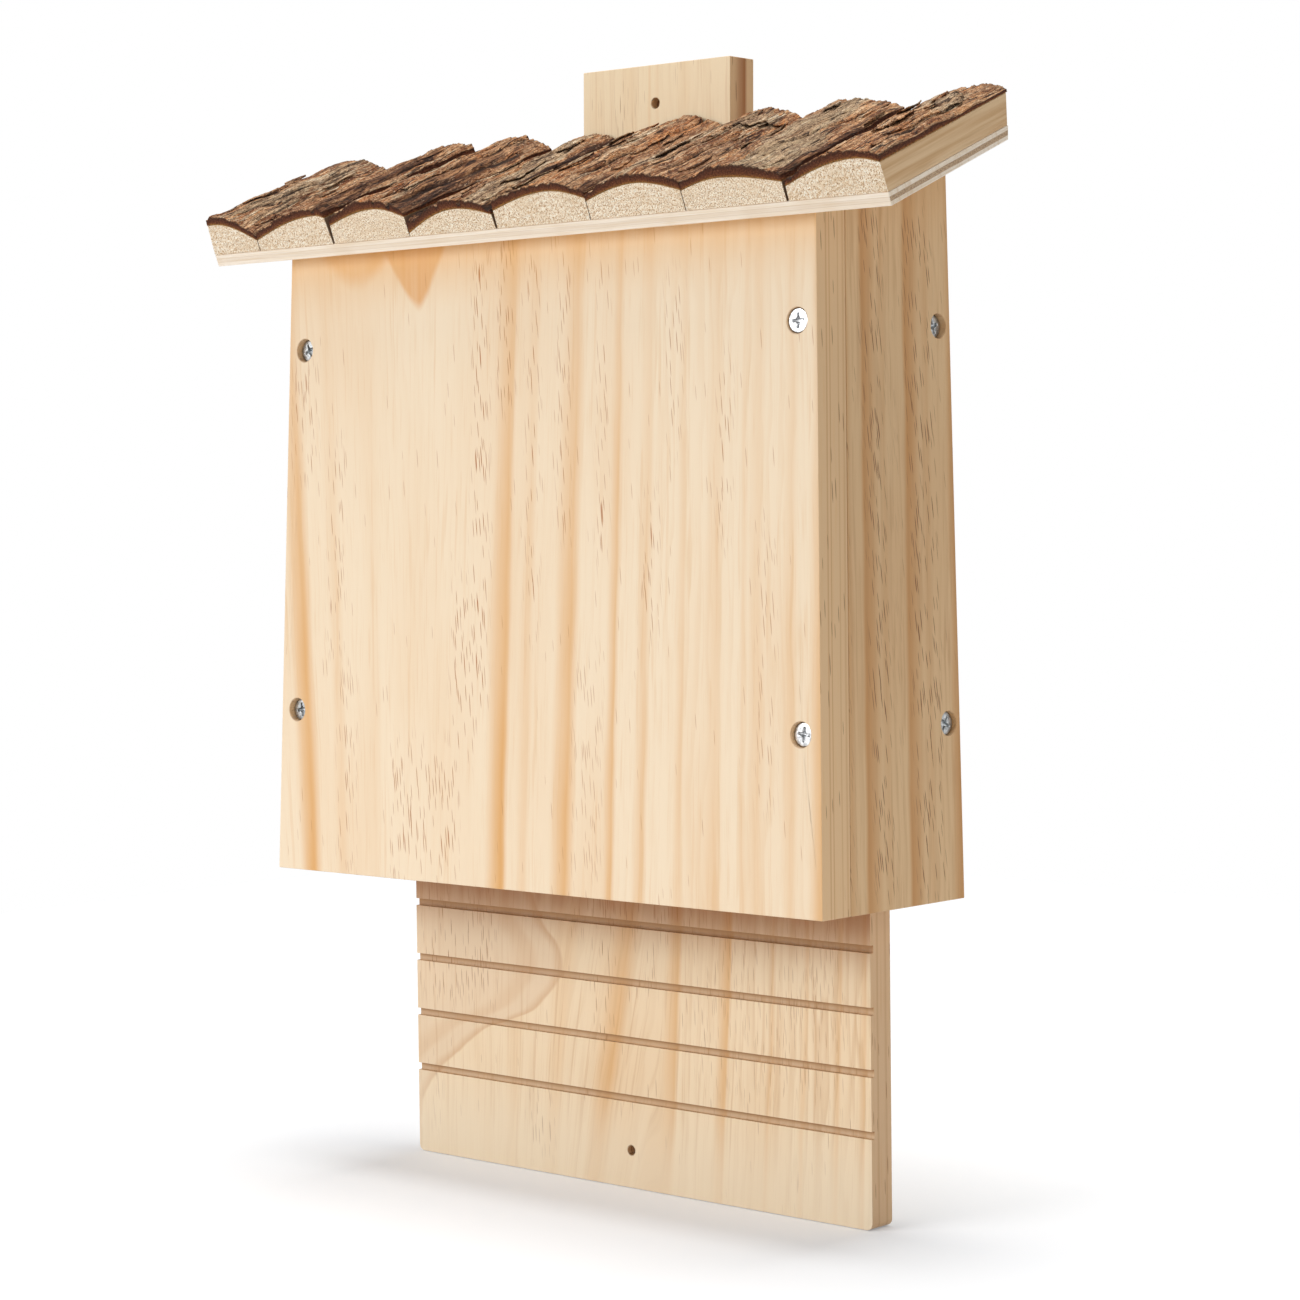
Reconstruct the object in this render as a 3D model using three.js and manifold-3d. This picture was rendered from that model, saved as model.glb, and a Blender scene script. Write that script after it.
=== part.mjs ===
// A bat box that hangs on a wall: a shallow timber box, open at the bottom and a little wider and deeper
// there than at its top, with a hanging tab, a grooved landing board and a sloping plywood roof under slats
// that keep their bark.
// Millimetres. +Z is up, +X is to the right seen from the front, and the front faces -Y.
// The origin is on the rear face of the back board, midway in height between the two wall screw holes.
// Heights named here count from the bottom edge of the landing board.

import * as THREE from 'three';
import { mergeVertices } from 'three/addons/utils/BufferGeometryUtils.js';
import Module from 'manifold-3d';

const wasm = await Module();
wasm.setup();

// Box. A lean ratio is how far a face moves in for each millimetre that it goes up.
const boxBottom = 114.7;
const boxWidth = 265;
const boxDepth = 78.2;
const boxHeight = 255.6; // bottom edge to the roof board's underside, at the roof board's rear edge
const sideLeanRatio = 0.0235;
const frontLeanRatio = 0.0291;
const sideThickness = 15;
const frontThickness = 15;
const backThickness = 13;
const seatGap = 0.3; // between pieces that meet on a slanted or a cut face

// Hanging tab, one piece with the back board
const tabWidth = 71.2;
const tabRise = 40.5; // above the roof board's underside
const tabOffset = 6; // its top's middle, to the right of the box's middle
const tabLeanDegrees = 0.7; // to the right, going up
const tabHoleRadius = 1.95;
const tabHoleDrop = 13.9;

// Landing board, in front of the back board
const landingThickness = 11.2;
const landingRise = 140; // above the box's bottom edge
const landingOffset = -1.8;
const landingSideGap = 0.6;
const landingCornerRadius = 2.5;
const landingHoleRadius = 1.85;
const landingHoleRise = 13.9;
const firstGrooveRise = 31.7;
const groovePitch = 21.5;
const grooveHeight = 2.7;
const grooveDepth = 1.6;
const grooveTopMargin = 5;

// Roof board
const roofSlopeDegrees = 22.1;
const roofThickness = 4.6;
const roofSideOverhang = 36;
const roofFrontOverhang = 5.9;
const roofRearGap = 0.7; // to the back board

// Half-log slats with their bark
const slatHeight = 11.3;
const slatSlit = 0.8; // between neighbours
const slatRearGap = 0.5; // short of the roof board's rear cut
const barkThickness = 2.8;
const barkRelief = 0.7; // how far ridges and hollows depart from that thickness
const barkWave = 23; // length of one ridge and hollow along the slat
const barkWaveStep = 1.7; // radians from one slat's first ridge to the next one's
const barkWaveTwist = 4; // radians from the left side of a slat to its right side
const barkRidgeShare = 0.6; // of the relief, as are the next two
const barkCrownShare = 0.8;
const barkSinkShare = 0.4;
// From left to right: parts of the roof's width at the front and at the rear, where the slats lie askew, and
// heights at both sides and at the crest in slat heights.
// Furrows run up the bark. Each has its places across at the front and at the rear, and where it starts and
// ends along the slope, as shares, then its half width and its depth. Plates lie between the furrows, each
// with what it adds to the bark's thickness. A lip is added at the left side, where the bark laps over its
// neighbour.
const slatShares = [
  {
    width: 0.081, rearWidth: 0.104, left: 1.0, crest: 1.02, crestAt: 0.15, right: 0.35, lip: 0,
    furrows: [[0.46, 0.58, 0.1, 0.85, 1.1, 1.1]],
    plates: [0.1, -0.1],
  },
  {
    width: 0.126, rearWidth: 0.137, left: 0.35, crest: 0.98, crestAt: 0.88, right: 0.87, lip: 0,
    furrows: [
      [0.26, 0.33, 0.05, 0.85, 1.1, 1.2], [0.57, 0.62, 0.1, 0.85, 1.1, 1.2], [0.87, 0.92, 0, 1, 1.7, 1.9],
    ],
    plates: [-0.1, 0.2, 0.1, 0],
  },
  {
    width: 0.124, rearWidth: 0.121, left: 0.6, crest: 1.0, crestAt: 0.62, right: 0.64, lip: 0.4,
    furrows: [
      [0.25, 0.29, 0.1, 1, 1.2, 1.5], [0.45, 0.49, 0.2, 1, 1.1, 1.3], [0.65, 0.72, 0, 1, 1.2, 1.5],
      [0.82, 0.91, 0, 0.85, 1.6, 1.9],
    ],
    plates: [0.2, 0.4, 0.1, -0.2, -0.5],
  },
  {
    width: 0.135, rearWidth: 0.116, left: 0.1, crest: 0.74, crestAt: 0.6, right: 0.45, lip: 3.2,
    furrows: [
      [0.2, 0.13, 0.1, 1, 1.2, 1.6], [0.4, 0.31, 0, 1, 1.3, 1.7], [0.66, 0.54, 0, 1, 1.5, 2.0],
      [0.95, 0.92, 0, 1, 1.6, 1.9],
    ],
    plates: [-0.3, -0.2, 0.4, 0.5, -0.3],
  },
  {
    width: 0.139, rearWidth: 0.145, left: 0.56, crest: 1.0, crestAt: 0.62, right: 0.66, lip: 0,
    furrows: [
      [0.28, 0.17, 0.2, 1, 1.3, 1.6], [0.42, 0.385, 0, 0.95, 1.0, 1.2], [0.59, 0.56, 0.1, 0.85, 1.2, 1.4],
      [0.78, 0.81, 0.15, 1, 1.4, 1.7],
    ],
    plates: [0.5, 0.1, 0.2, 0.4, -0.1],
  },
  {
    width: 0.133, rearWidth: 0.116, left: 0.57, crest: 0.97, crestAt: 0.55, right: 0.62, lip: 0.3,
    furrows: [
      [0.1, 0.15, 0.05, 1, 1.3, 1.5], [0.36, 0.37, 0.3, 1, 1.3, 1.6], [0.57, 0.62, 0.05, 0.7, 1.2, 1.4],
      [0.76, 0.79, 0.1, 0.75, 1.3, 1.5],
    ],
    plates: [-0.4, 0.4, 0.3, -0.1, 0.2],
  },
  {
    width: 0.135, rearWidth: 0.135, left: 0.6, crest: 0.87, crestAt: 0.4, right: 0.57, lip: 0,
    furrows: [
      [0.16, 0.14, 0.05, 0.9, 1.2, 1.7], [0.28, 0.31, 0.05, 0.9, 1.3, 1.7], [0.47, 0.93, 0.1, 0.85, 1.2, 1.5],
    ],
    plates: [0.1, -0.2, 0.6, 0.5],
  },
  {
    width: 0.127, rearWidth: 0.126, left: 0.43, crest: 1.03, crestAt: 0.75, right: 0.85, lip: 0,
    furrows: [[0.1, 0.16, 0, 1, 4, 1.3], [0.41, 0.39, 0.4, 1, 1.2, 1.4], [0.66, 0.62, 0.15, 1, 1.2, 1.3]],
    plates: [-0.4, 0, 0.3, 0.2],
  },
];
const slatSteps = 8;
const barkStations = 9;
const plateSteps = 3; // spans across one plate
const furrowFloorShare = 0.3; // of a furrow's width
const furrowFade = 0.1; // of the slope, at each end of a furrow
const lipReach = 4.5;
const leastAcross = 0.01; // furrows stay within these shares of a slat's width
const mostAcross = 0.995;
const thinBark = 0.8; // at the bottom of the deepest furrow

// Countersunk screws with a cross recess, and plain pins. Each clears its hole by the seat gap.
const headRadius = 4;
const headRim = 0.5;
const shankRadius = 2;
const longScrew = 30;
const shortScrew = 20;
const tipLength = 4;
const crossLength = 4.6;
const crossWidth = 1.1;
const crossDepth = 1.9;
const crossTaperShare = 0.45;
const lowScrewRise = 60.5; // above the box's bottom edge
const highScrewDrop = 59.6; // below the roof board's underside, at the roof board's rear edge
const frontScrewInset = 8.4;
const landingScrewSideInset = 32; // from the landing board's side edges
const landingScrewInset = 30; // from the box's bottom edge and from the landing board's top edge
const roofScrewInset = 10; // along the slope, from the front panel and from the roof board's rear cut
const hiddenSink = 0.3;
const pinRadius = 0.8;
const pinHeadRadius = 1.7;
const pinHeadHeight = 0.8;
const pinLength = 9.5;
const pinShares = [0.2, 0.68]; // places along the slope

const overrun = 1; // how far a cutter passes a face that it opens
const screwSegments = 24;
const hiddenSegments = 12;
const pinSegments = 8;
const holeSegments = 24;
const cornerSegments = 6;

// Places worked out from these sizes
const roofSlope = THREE.MathUtils.degToRad(roofSlopeDegrees);
const slopeRatio = Math.tan(roofSlope);
const boxTop = boxBottom + boxHeight;
const highScrewRise = boxHeight - highScrewDrop;
const roofRear = -backThickness - roofRearGap;
const tabTop = boxTop + tabRise;
const originRise = (landingHoleRise + tabTop - tabHoleDrop) / 2;
const topHalfWidth = boxWidth / 2 - sideLeanRatio * boxHeight;
const roofWidth = 2 * (topHalfWidth + roofSideOverhang);

function halfWidthAt(height) {
  return boxWidth / 2 - sideLeanRatio * (height - boxBottom);
}

function frontFaceAt(height) {
  return -boxDepth + frontLeanRatio * (height - boxBottom);
}

function roofUndersideAt(y) {
  return boxTop + slopeRatio * (y - roofRear);
}

// Where a plane that lies behind the front face by inset meets the underside of the roof board
function meetRoof(inset) {
  const start = inset - boxDepth - frontLeanRatio * boxBottom;
  const seat = seatGap / Math.cos(roofSlope);
  const height = (boxTop - seat + slopeRatio * (start - roofRear)) / (1 - slopeRatio * frontLeanRatio);
  return [start + frontLeanRatio * height, height];
}

const landingTop = boxBottom + landingRise;
const landingInnerHalf = halfWidthAt(landingTop) - sideThickness - landingSideGap;
const landingWidth = 2 * (landingInnerHalf - Math.abs(landingOffset));
const roofFront = meetRoof(0)[0] - roofFrontOverhang;

// How far the slope runs back to the plumb cut, at a height over the roof board's underside
function slopeRunAt(height, gap = 0) {
  return (roofRear - gap - roofFront + height * Math.sin(roofSlope)) / Math.cos(roofSlope);
}

// Closed three.js geometries as solids that can be joined and cut
function solidOf(geometry) {
  const bare = geometry.clone();
  bare.deleteAttribute('normal');
  bare.deleteAttribute('uv');
  const merged = mergeVertices(bare);
  return new wasm.Manifold(new wasm.Mesh({
    numProp: 3,
    vertProperties: Float32Array.from(merged.attributes.position.array),
    triVerts: Uint32Array.from(merged.index.array),
  }));
}

function geometryOf(solid) {
  const { vertProperties, triVerts } = solid.getMesh();
  const geometry = new THREE.BufferGeometry();
  geometry.setAttribute('position', new THREE.BufferAttribute(vertProperties, 3));
  geometry.setIndex(new THREE.BufferAttribute(triVerts, 1));
  geometry.computeVertexNormals();
  return geometry;
}

function cut(geometry, cutters) {
  let solid = solidOf(geometry);
  for (const cutter of cutters) solid = solid.subtract(solidOf(cutter));
  return geometryOf(solid);
}

function extrude(points, depth) {
  const shape = new THREE.Shape(points.map(([a, b]) => new THREE.Vector2(a, b)));
  return new THREE.ExtrudeGeometry(shape, { depth, bevelEnabled: false, steps: 1 });
}

// An outline of [y, z] points, drawn out along +X from zero
function alongX(points, width) {
  const axes = new THREE.Matrix4().makeBasis(
    new THREE.Vector3(0, 1, 0), new THREE.Vector3(0, 0, 1), new THREE.Vector3(1, 0, 0));
  return extrude(points, width).applyMatrix4(axes);
}

// An outline of [x, z] points, drawn out forwards from the plane y = rear
function forwards(points, rear, thickness) {
  const axes = new THREE.Matrix4().makeBasis(
    new THREE.Vector3(1, 0, 0), new THREE.Vector3(0, 0, 1), new THREE.Vector3(0, -1, 0));
  return extrude(points, thickness).applyMatrix4(axes).translate(0, rear, 0);
}

// Moves every corner of a geometry by a rule of its place
function reshape(geometry, rule) {
  const position = geometry.attributes.position;
  const corner = new THREE.Vector3();
  for (let i = 0; i < position.count; i += 1) {
    corner.fromBufferAttribute(position, i);
    rule(corner);
    position.setXYZ(i, corner.x, corner.y, corner.z);
  }
  geometry.computeVertexNormals();
  return geometry;
}

// Fasteners lie along their own Y axis, with the head's top at zero and the outside towards +Y
function lathe(profile, segments) {
  return new THREE.LatheGeometry(profile.map(([r, y]) => new THREE.Vector2(r, y)), segments);
}

function taperedBar(length, width) {
  const bar = new THREE.BoxGeometry(length, 2 * crossDepth, width);
  return reshape(bar, (corner) => {
    if (corner.y < 0) corner.set(corner.x * crossTaperShare, -crossDepth, corner.z * crossTaperShare);
    else corner.y = overrun;
  });
}

function screwGeometry(length, segments) {
  const coneBottom = -headRim - (headRadius - shankRadius);
  const blank = lathe([
    [0, -length], [shankRadius, tipLength - length], [shankRadius, coneBottom],
    [headRadius, -headRim], [headRadius, 0], [0, 0],
  ], segments);
  const slot = solidOf(taperedBar(crossLength, crossWidth));
  const crossSlot = solidOf(taperedBar(crossWidth, crossLength));
  return geometryOf(solidOf(blank).subtract(slot).subtract(crossSlot));
}

function screwSeat(length, sink, segments) {
  const bore = shankRadius + seatGap;
  const mouth = headRadius + seatGap;
  const rim = -sink - headRim - seatGap;
  return lathe([
    [0, -sink - length - seatGap], [bore, -sink - length - seatGap], [bore, rim - (mouth - bore)],
    [mouth, rim], [mouth, overrun], [0, overrun],
  ], segments);
}

function pinGeometry() {
  return lathe([
    [0, -pinLength], [pinRadius, -pinLength + pinRadius], [pinRadius, -pinHeadHeight],
    [pinHeadRadius, -pinHeadHeight], [pinHeadRadius, 0], [0, 0],
  ], pinSegments);
}

function pinSeat() {
  const bore = pinRadius + seatGap;
  const mouth = pinHeadRadius + seatGap;
  const shoulder = -pinHeadHeight - 2 * seatGap;
  return lathe([
    [0, -pinLength - 2 * seatGap], [bore, -pinLength - 2 * seatGap], [bore, shoulder],
    [mouth, shoulder], [mouth, overrun], [0, overrun],
  ], pinSegments);
}

function drill(radius, length) {
  return new THREE.CylinderGeometry(radius, radius, length, holeSegments);
}

// The matrix that stands a fastener on a face, turned about its own axis
function poseOn(point, outward, turnDegrees = 0) {
  const axis = new THREE.Vector3(0, 1, 0);
  const stand = new THREE.Quaternion().setFromUnitVectors(axis, outward.clone().normalize());
  const turn = new THREE.Quaternion().setFromAxisAngle(axis, THREE.MathUtils.degToRad(turnDegrees));
  return new THREE.Matrix4().compose(point, stand.multiply(turn), new THREE.Vector3(1, 1, 1));
}

// Materials
const finishes = {
  paleWood: { color: 0xe9cfa4, roughness: 0.75, metalness: 0 },
  tanWood: { color: 0xc7a77c, roughness: 0.75, metalness: 0 },
  plywood: { color: 0xe6d8c0, roughness: 0.75, metalness: 0 },
  logWood: { color: 0xddc9a2, roughness: 0.8, metalness: 0 },
  bark: { color: 0x7a5138, roughness: 0.95, metalness: 0 },
  zinc: { color: 0xc9cdd0, roughness: 0.3, metalness: 1 },
};

function piece(name, geometry, finish) {
  const mesh = new THREE.Mesh(geometry, new THREE.MeshStandardMaterial(finishes[finish]));
  mesh.name = name;
  return mesh;
}

// Screws that hold the box: each has a face point, an outward direction, a sink and a turn of its cross
const frontNormal = new THREE.Vector3(0, -1, frontLeanRatio);

function frontScrew(name, side, rise, sink, turn) {
  const height = boxBottom + rise;
  const x = side * (halfWidthAt(height) - frontScrewInset);
  return { name, pose: poseOn(new THREE.Vector3(x, frontFaceAt(height), height), frontNormal, turn), sink };
}

function sideScrew(name, side, rise, sink, turn) {
  const height = boxBottom + rise;
  const point = new THREE.Vector3(side * halfWidthAt(height), -backThickness / 2, height);
  return { name, pose: poseOn(point, new THREE.Vector3(side, 0, sideLeanRatio), turn), sink };
}

const shallowSink = 0.5;
const middleSink = 1.5;
const deepSink = 2.3;
const frontScrews = [
  frontScrew('front_screw_upper_right', 1, highScrewRise, shallowSink, 3),
  frontScrew('front_screw_lower_right', 1, lowScrewRise, middleSink, -9),
  frontScrew('front_screw_upper_left', -1, highScrewRise, deepSink, 25),
  frontScrew('front_screw_lower_left', -1, lowScrewRise, deepSink, 8),
];
const sideScrews = [
  sideScrew('side_screw_upper_right', 1, highScrewRise, deepSink, 20),
  sideScrew('side_screw_lower_right', 1, lowScrewRise, middleSink, -30),
  sideScrew('side_screw_upper_left', -1, highScrewRise, middleSink, 12),
  sideScrew('side_screw_lower_left', -1, lowScrewRise, shallowSink, 38),
];

const landingScrews = [];
const landingScrewRows = [
  ['lower', boxBottom + landingScrewInset],
  ['upper', landingTop - landingScrewInset],
];
for (const [row, height] of landingScrewRows) {
  for (const [column, side] of [['left', -1], ['right', 1]]) {
    const x = landingOffset + side * (landingWidth / 2 - landingScrewSideInset);
    landingScrews.push({
      name: `landing_screw_${row}_${column}`,
      pose: poseOn(new THREE.Vector3(x, 0, height), new THREE.Vector3(0, 1, 0)),
      sink: hiddenSink,
    });
  }
}

// The roof frame: X as before, Y up the slope from the lower front edge of the roof board, Z out of the slope
const roof = new THREE.Group();
roof.position.set(0, roofFront, roofUndersideAt(roofFront));
roof.rotation.x = roofSlope;
roof.updateMatrix();

const roofRun = slopeRunAt(0);
const roofScrews = [];
const frontPanelRun = (meetRoof(frontThickness)[0] - roofFront) / Math.cos(roofSlope);
for (const [column, side] of [['left', -1], ['right', 1]]) {
  for (const [row, run] of [['front', frontPanelRun + roofScrewInset], ['rear', roofRun - roofScrewInset]]) {
    const x = side * (topHalfWidth - sideThickness / 2);
    roofScrews.push({
      name: `roof_screw_${row}_${column}`,
      pose: poseOn(new THREE.Vector3(x, run, roofThickness), new THREE.Vector3(0, 0, 1)),
      sink: hiddenSink,
    });
  }
}

function seatOf(screw, length, segments, frame = new THREE.Matrix4()) {
  return screwSeat(length, screw.sink, segments).applyMatrix4(frame.clone().multiply(screw.pose));
}

function screwPieces(screws, length, segments) {
  return screws.map(({ name, pose, sink }) => {
    const mesh = piece(name, screwGeometry(length, segments), 'zinc');
    mesh.applyMatrix4(pose);
    mesh.translateY(-sink);
    return mesh;
  });
}

// Back board: narrow enough to stand between the sides, with the tab on top
function backBoard() {
  const clear = sideThickness + seatGap;
  const shoulder = boxTop - seatGap;
  const lean = THREE.MathUtils.degToRad(tabLeanDegrees);
  const down = new THREE.Vector2(-Math.sin(lean), -Math.cos(lean));
  const across = new THREE.Vector2(Math.cos(lean), -Math.sin(lean));
  const topMiddle = new THREE.Vector2(tabOffset, tabTop);
  const topLeft = topMiddle.clone().addScaledVector(across, -tabWidth / 2);
  const topRight = topMiddle.clone().addScaledVector(across, tabWidth / 2);
  const leftFoot = topLeft.clone().addScaledVector(down, (topLeft.y - shoulder) / Math.cos(lean));
  const rightFoot = topRight.clone().addScaledVector(down, (topRight.y - shoulder) / Math.cos(lean));
  const outline = [
    [-halfWidthAt(boxBottom) + clear, boxBottom], [halfWidthAt(boxBottom) - clear, boxBottom],
    [halfWidthAt(shoulder) - clear, shoulder], rightFoot.toArray(), topRight.toArray(),
    topLeft.toArray(), leftFoot.toArray(), [-halfWidthAt(shoulder) + clear, shoulder],
  ];
  const holeCentre = topMiddle.clone().addScaledVector(down, tabHoleDrop);
  const hole = drill(tabHoleRadius, backThickness + 2 * overrun);
  hole.translate(holeCentre.x, -backThickness / 2, holeCentre.y);
  const seats = [
    ...landingScrews.map((screw) => seatOf(screw, shortScrew, hiddenSegments)),
    ...sideScrews.map((screw) => seatOf(screw, longScrew, screwSegments)),
  ];
  return piece('back_board', cut(forwards(outline, 0, backThickness), [hole, ...seats]), 'tanWood');
}

// Side panel: its top edge follows the roof's slope, and its front edge the front panel's lean
function sidePanel(name, side) {
  const inset = frontThickness + seatGap;
  const rearTop = roofUndersideAt(0) - seatGap / Math.cos(roofSlope);
  const outline = [
    [frontFaceAt(boxBottom) + inset, boxBottom], [0, boxBottom], [0, rearTop], meetRoof(inset),
  ];
  const board = reshape(alongX(outline, sideThickness), (corner) => {
    const outer = side * halfWidthAt(corner.z);
    corner.x = side > 0 ? outer - sideThickness + corner.x : outer + corner.x;
  });
  const mine = (screw) => screw.name.endsWith(side > 0 ? 'right' : 'left');
  const seats = [
    ...frontScrews.filter(mine).map((screw) => seatOf(screw, longScrew, screwSegments)),
    ...sideScrews.filter(mine).map((screw) => seatOf(screw, longScrew, screwSegments)),
    ...roofScrews.map((screw) => seatOf(screw, shortScrew, hiddenSegments, roof.matrix)),
  ];
  return piece(name, cut(board, seats), 'tanWood');
}

// Front panel: covers the front edges of the sides, with its ends in line with their outer faces
function frontPanel() {
  const outline = [
    [frontFaceAt(boxBottom), boxBottom], [frontFaceAt(boxBottom) + frontThickness, boxBottom],
    meetRoof(frontThickness), meetRoof(0),
  ];
  const board = reshape(alongX(outline, boxWidth), (corner) => {
    corner.x = (corner.x / boxWidth - 0.5) * 2 * halfWidthAt(corner.z);
  });
  const seats = frontScrews.map((screw) => seatOf(screw, longScrew, screwSegments));
  return piece('front_panel', cut(board, seats), 'paleWood');
}

// Landing board: rounded lower corners, and saw cuts across its front face from the foot to the top
function landingBoard() {
  const left = landingOffset - landingWidth / 2;
  const right = landingOffset + landingWidth / 2;
  const outline = [];
  for (let i = 0; i <= cornerSegments; i += 1) {
    const angle = (i / cornerSegments) * Math.PI / 2;
    const sweep = landingCornerRadius * (1 - Math.sin(angle));
    outline.push([left + landingCornerRadius * (1 - Math.cos(angle)), sweep]);
  }
  for (let i = 0; i <= cornerSegments; i += 1) {
    const angle = (i / cornerSegments) * Math.PI / 2;
    const sweep = landingCornerRadius * (1 - Math.cos(angle));
    outline.push([right - landingCornerRadius * (1 - Math.sin(angle)), sweep]);
  }
  outline.push([right, landingTop], [left, landingTop]);
  const front = -backThickness - landingThickness;
  const cutters = [];
  const lastRise = landingTop - grooveTopMargin - grooveHeight;
  for (let rise = firstGrooveRise; rise <= lastRise; rise += groovePitch) {
    const groove = new THREE.BoxGeometry(landingWidth + 2 * overrun, grooveDepth + overrun, grooveHeight);
    groove.translate(landingOffset, front + (grooveDepth - overrun) / 2, rise + grooveHeight / 2);
    cutters.push(groove);
  }
  const hole = drill(landingHoleRadius, landingThickness + 2 * overrun);
  hole.translate(landingOffset, front + landingThickness / 2, landingHoleRise);
  cutters.push(hole, ...landingScrews.map((screw) => seatOf(screw, shortScrew, hiddenSegments)));
  const board = forwards(outline, -backThickness, landingThickness);
  return piece('landing_board', cut(board, cutters), 'paleWood');
}

// Slats, each with its place across the roof and its own cross-section
const slatRun = roofWidth - (slatShares.length - 1) * slatSlit;
const shareTotal = slatShares.reduce((total, share) => total + share.width, 0);
const rearShareTotal = slatShares.reduce((total, share) => total + share.rearWidth, 0);
const slatBottom = roofThickness + seatGap;
const slats = [];
let slatLeft = -roofWidth / 2;
let slatRearLeft = slatLeft;
for (const share of slatShares) {
  const width = slatRun * share.width / shareTotal;
  const rearWidth = slatRun * share.rearWidth / rearShareTotal;
  slats.push({ share, width, rearWidth, left: slatLeft, rearLeft: slatRearLeft, number: slats.length + 1 });
  slatLeft += width + slatSlit;
  slatRearLeft += rearWidth + slatSlit;
}

function slatWidthAt({ width, rearWidth }, along) {
  return width + (rearWidth - width) * along;
}

// A place on a slat, from its share across the slat and its share along the slope
function placeOn(slat, across, along) {
  const left = slat.left + (slat.rearLeft - slat.left) * along;
  return left + slatWidthAt(slat, along) * across;
}

function slatHeightAt({ share }, across) {
  const rising = across < share.crestAt;
  const from = rising ? share.left : share.right;
  const toCrest = rising ? across / share.crestAt : (1 - across) / (1 - share.crestAt);
  return slatHeight * (from + (share.crest - from) * Math.sin(toCrest * Math.PI / 2));
}

// Steps across a slat, with its crest among them
function stepsAcross({ share }) {
  const before = Math.max(2, Math.round(slatSteps * share.crestAt));
  const after = Math.max(2, slatSteps - before);
  const steps = [];
  for (let i = 0; i < before; i += 1) steps.push(share.crestAt * i / before);
  for (let i = 0; i <= after; i += 1) steps.push(share.crestAt + (1 - share.crestAt) * i / after);
  return steps;
}

function pinPoses(slat) {
  const inwards = new THREE.Vector3(0, 0, -1);
  return pinShares.map((share) =>
    poseOn(new THREE.Vector3(placeOn(slat, 1 / 2, share), share * roofRun, seatGap), inwards));
}

function slatPiece(slat) {
  const top = stepsAcross(slat).map((across) =>
    [slat.left + slat.width * across, slatBottom + slatHeightAt(slat, across)]);
  const outline = [[slat.left, slatBottom], [slat.left + slat.width, slatBottom], ...top.reverse()];
  const log = reshape(forwards(outline, 0, 1), (corner) => {
    const along = 1 + corner.y;
    corner.x = placeOn(slat, (corner.x - slat.left) / slat.width, along);
    corner.y = along * slopeRunAt(corner.z, slatRearGap);
  });
  const seats = pinPoses(slat).map((pose) => pinSeat().applyMatrix4(pose));
  return piece(`slat_${slat.number}`, cut(log, seats), 'logWood');
}

// Bark: a sheet over the slat's round top, thicker and thinner along its ridges, cut by its furrows
function barkThicknessAt(slat, across, along) {
  const crown = Math.sin(Math.PI * Math.min(1, Math.max(0, across)));
  const turn = slat.number * barkWaveStep + across * barkWaveTwist;
  const ridge = Math.sin(2 * Math.PI * along * roofRun / barkWave + turn);
  const lip = Math.max(0, 1 - across * slatWidthAt(slat, along) / lipReach);
  const relief = barkRidgeShare * ridge + barkCrownShare * crown - barkSinkShare;
  return barkThickness + barkRelief * relief + slat.share.lip * lip * lip;
}

// A furrow's depth at a place along it: none before its start and after its end, unless these are the slope's
function furrowDepthAt([, , start, end, , depth], along) {
  const rise = start === 0 ? 1 : THREE.MathUtils.smoothstep(along, start - furrowFade, start + furrowFade);
  const fall = end === 1 ? 0 : THREE.MathUtils.smoothstep(along, end - furrowFade, end + furrowFade);
  return depth * rise * (1 - fall);
}

// The bark's columns at a place along the slope: each has its place across and its thickness
function barkColumns(slat, along) {
  const { furrows, plates } = slat.share;
  const edges = [0];
  for (const [front, rear, , , halfWidth] of furrows) {
    const middle = front + (rear - front) * along;
    const reach = halfWidth / slatWidthAt(slat, along);
    edges.push(Math.max(leastAcross, middle - reach), Math.min(mostAcross, middle + reach));
  }
  edges.push(1);
  const columns = [];
  plates.forEach((added, index) => {
    const start = edges[2 * index];
    const end = edges[2 * index + 1];
    for (let i = 0; i <= plateSteps; i += 1) {
      const across = start + (end - start) * i / plateSteps;
      columns.push([across, barkThicknessAt(slat, across, along) + added]);
    }
    if (index === furrows.length) return;
    const next = edges[2 * index + 2];
    const level = (added + plates[index + 1]) / 2 - furrowDepthAt(furrows[index], along);
    for (const share of [0.5 - furrowFloorShare / 2, 0.5 + furrowFloorShare / 2]) {
      const across = end + (next - end) * share;
      columns.push([across, barkThicknessAt(slat, across, along) + level]);
    }
  });
  return columns;
}

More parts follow.
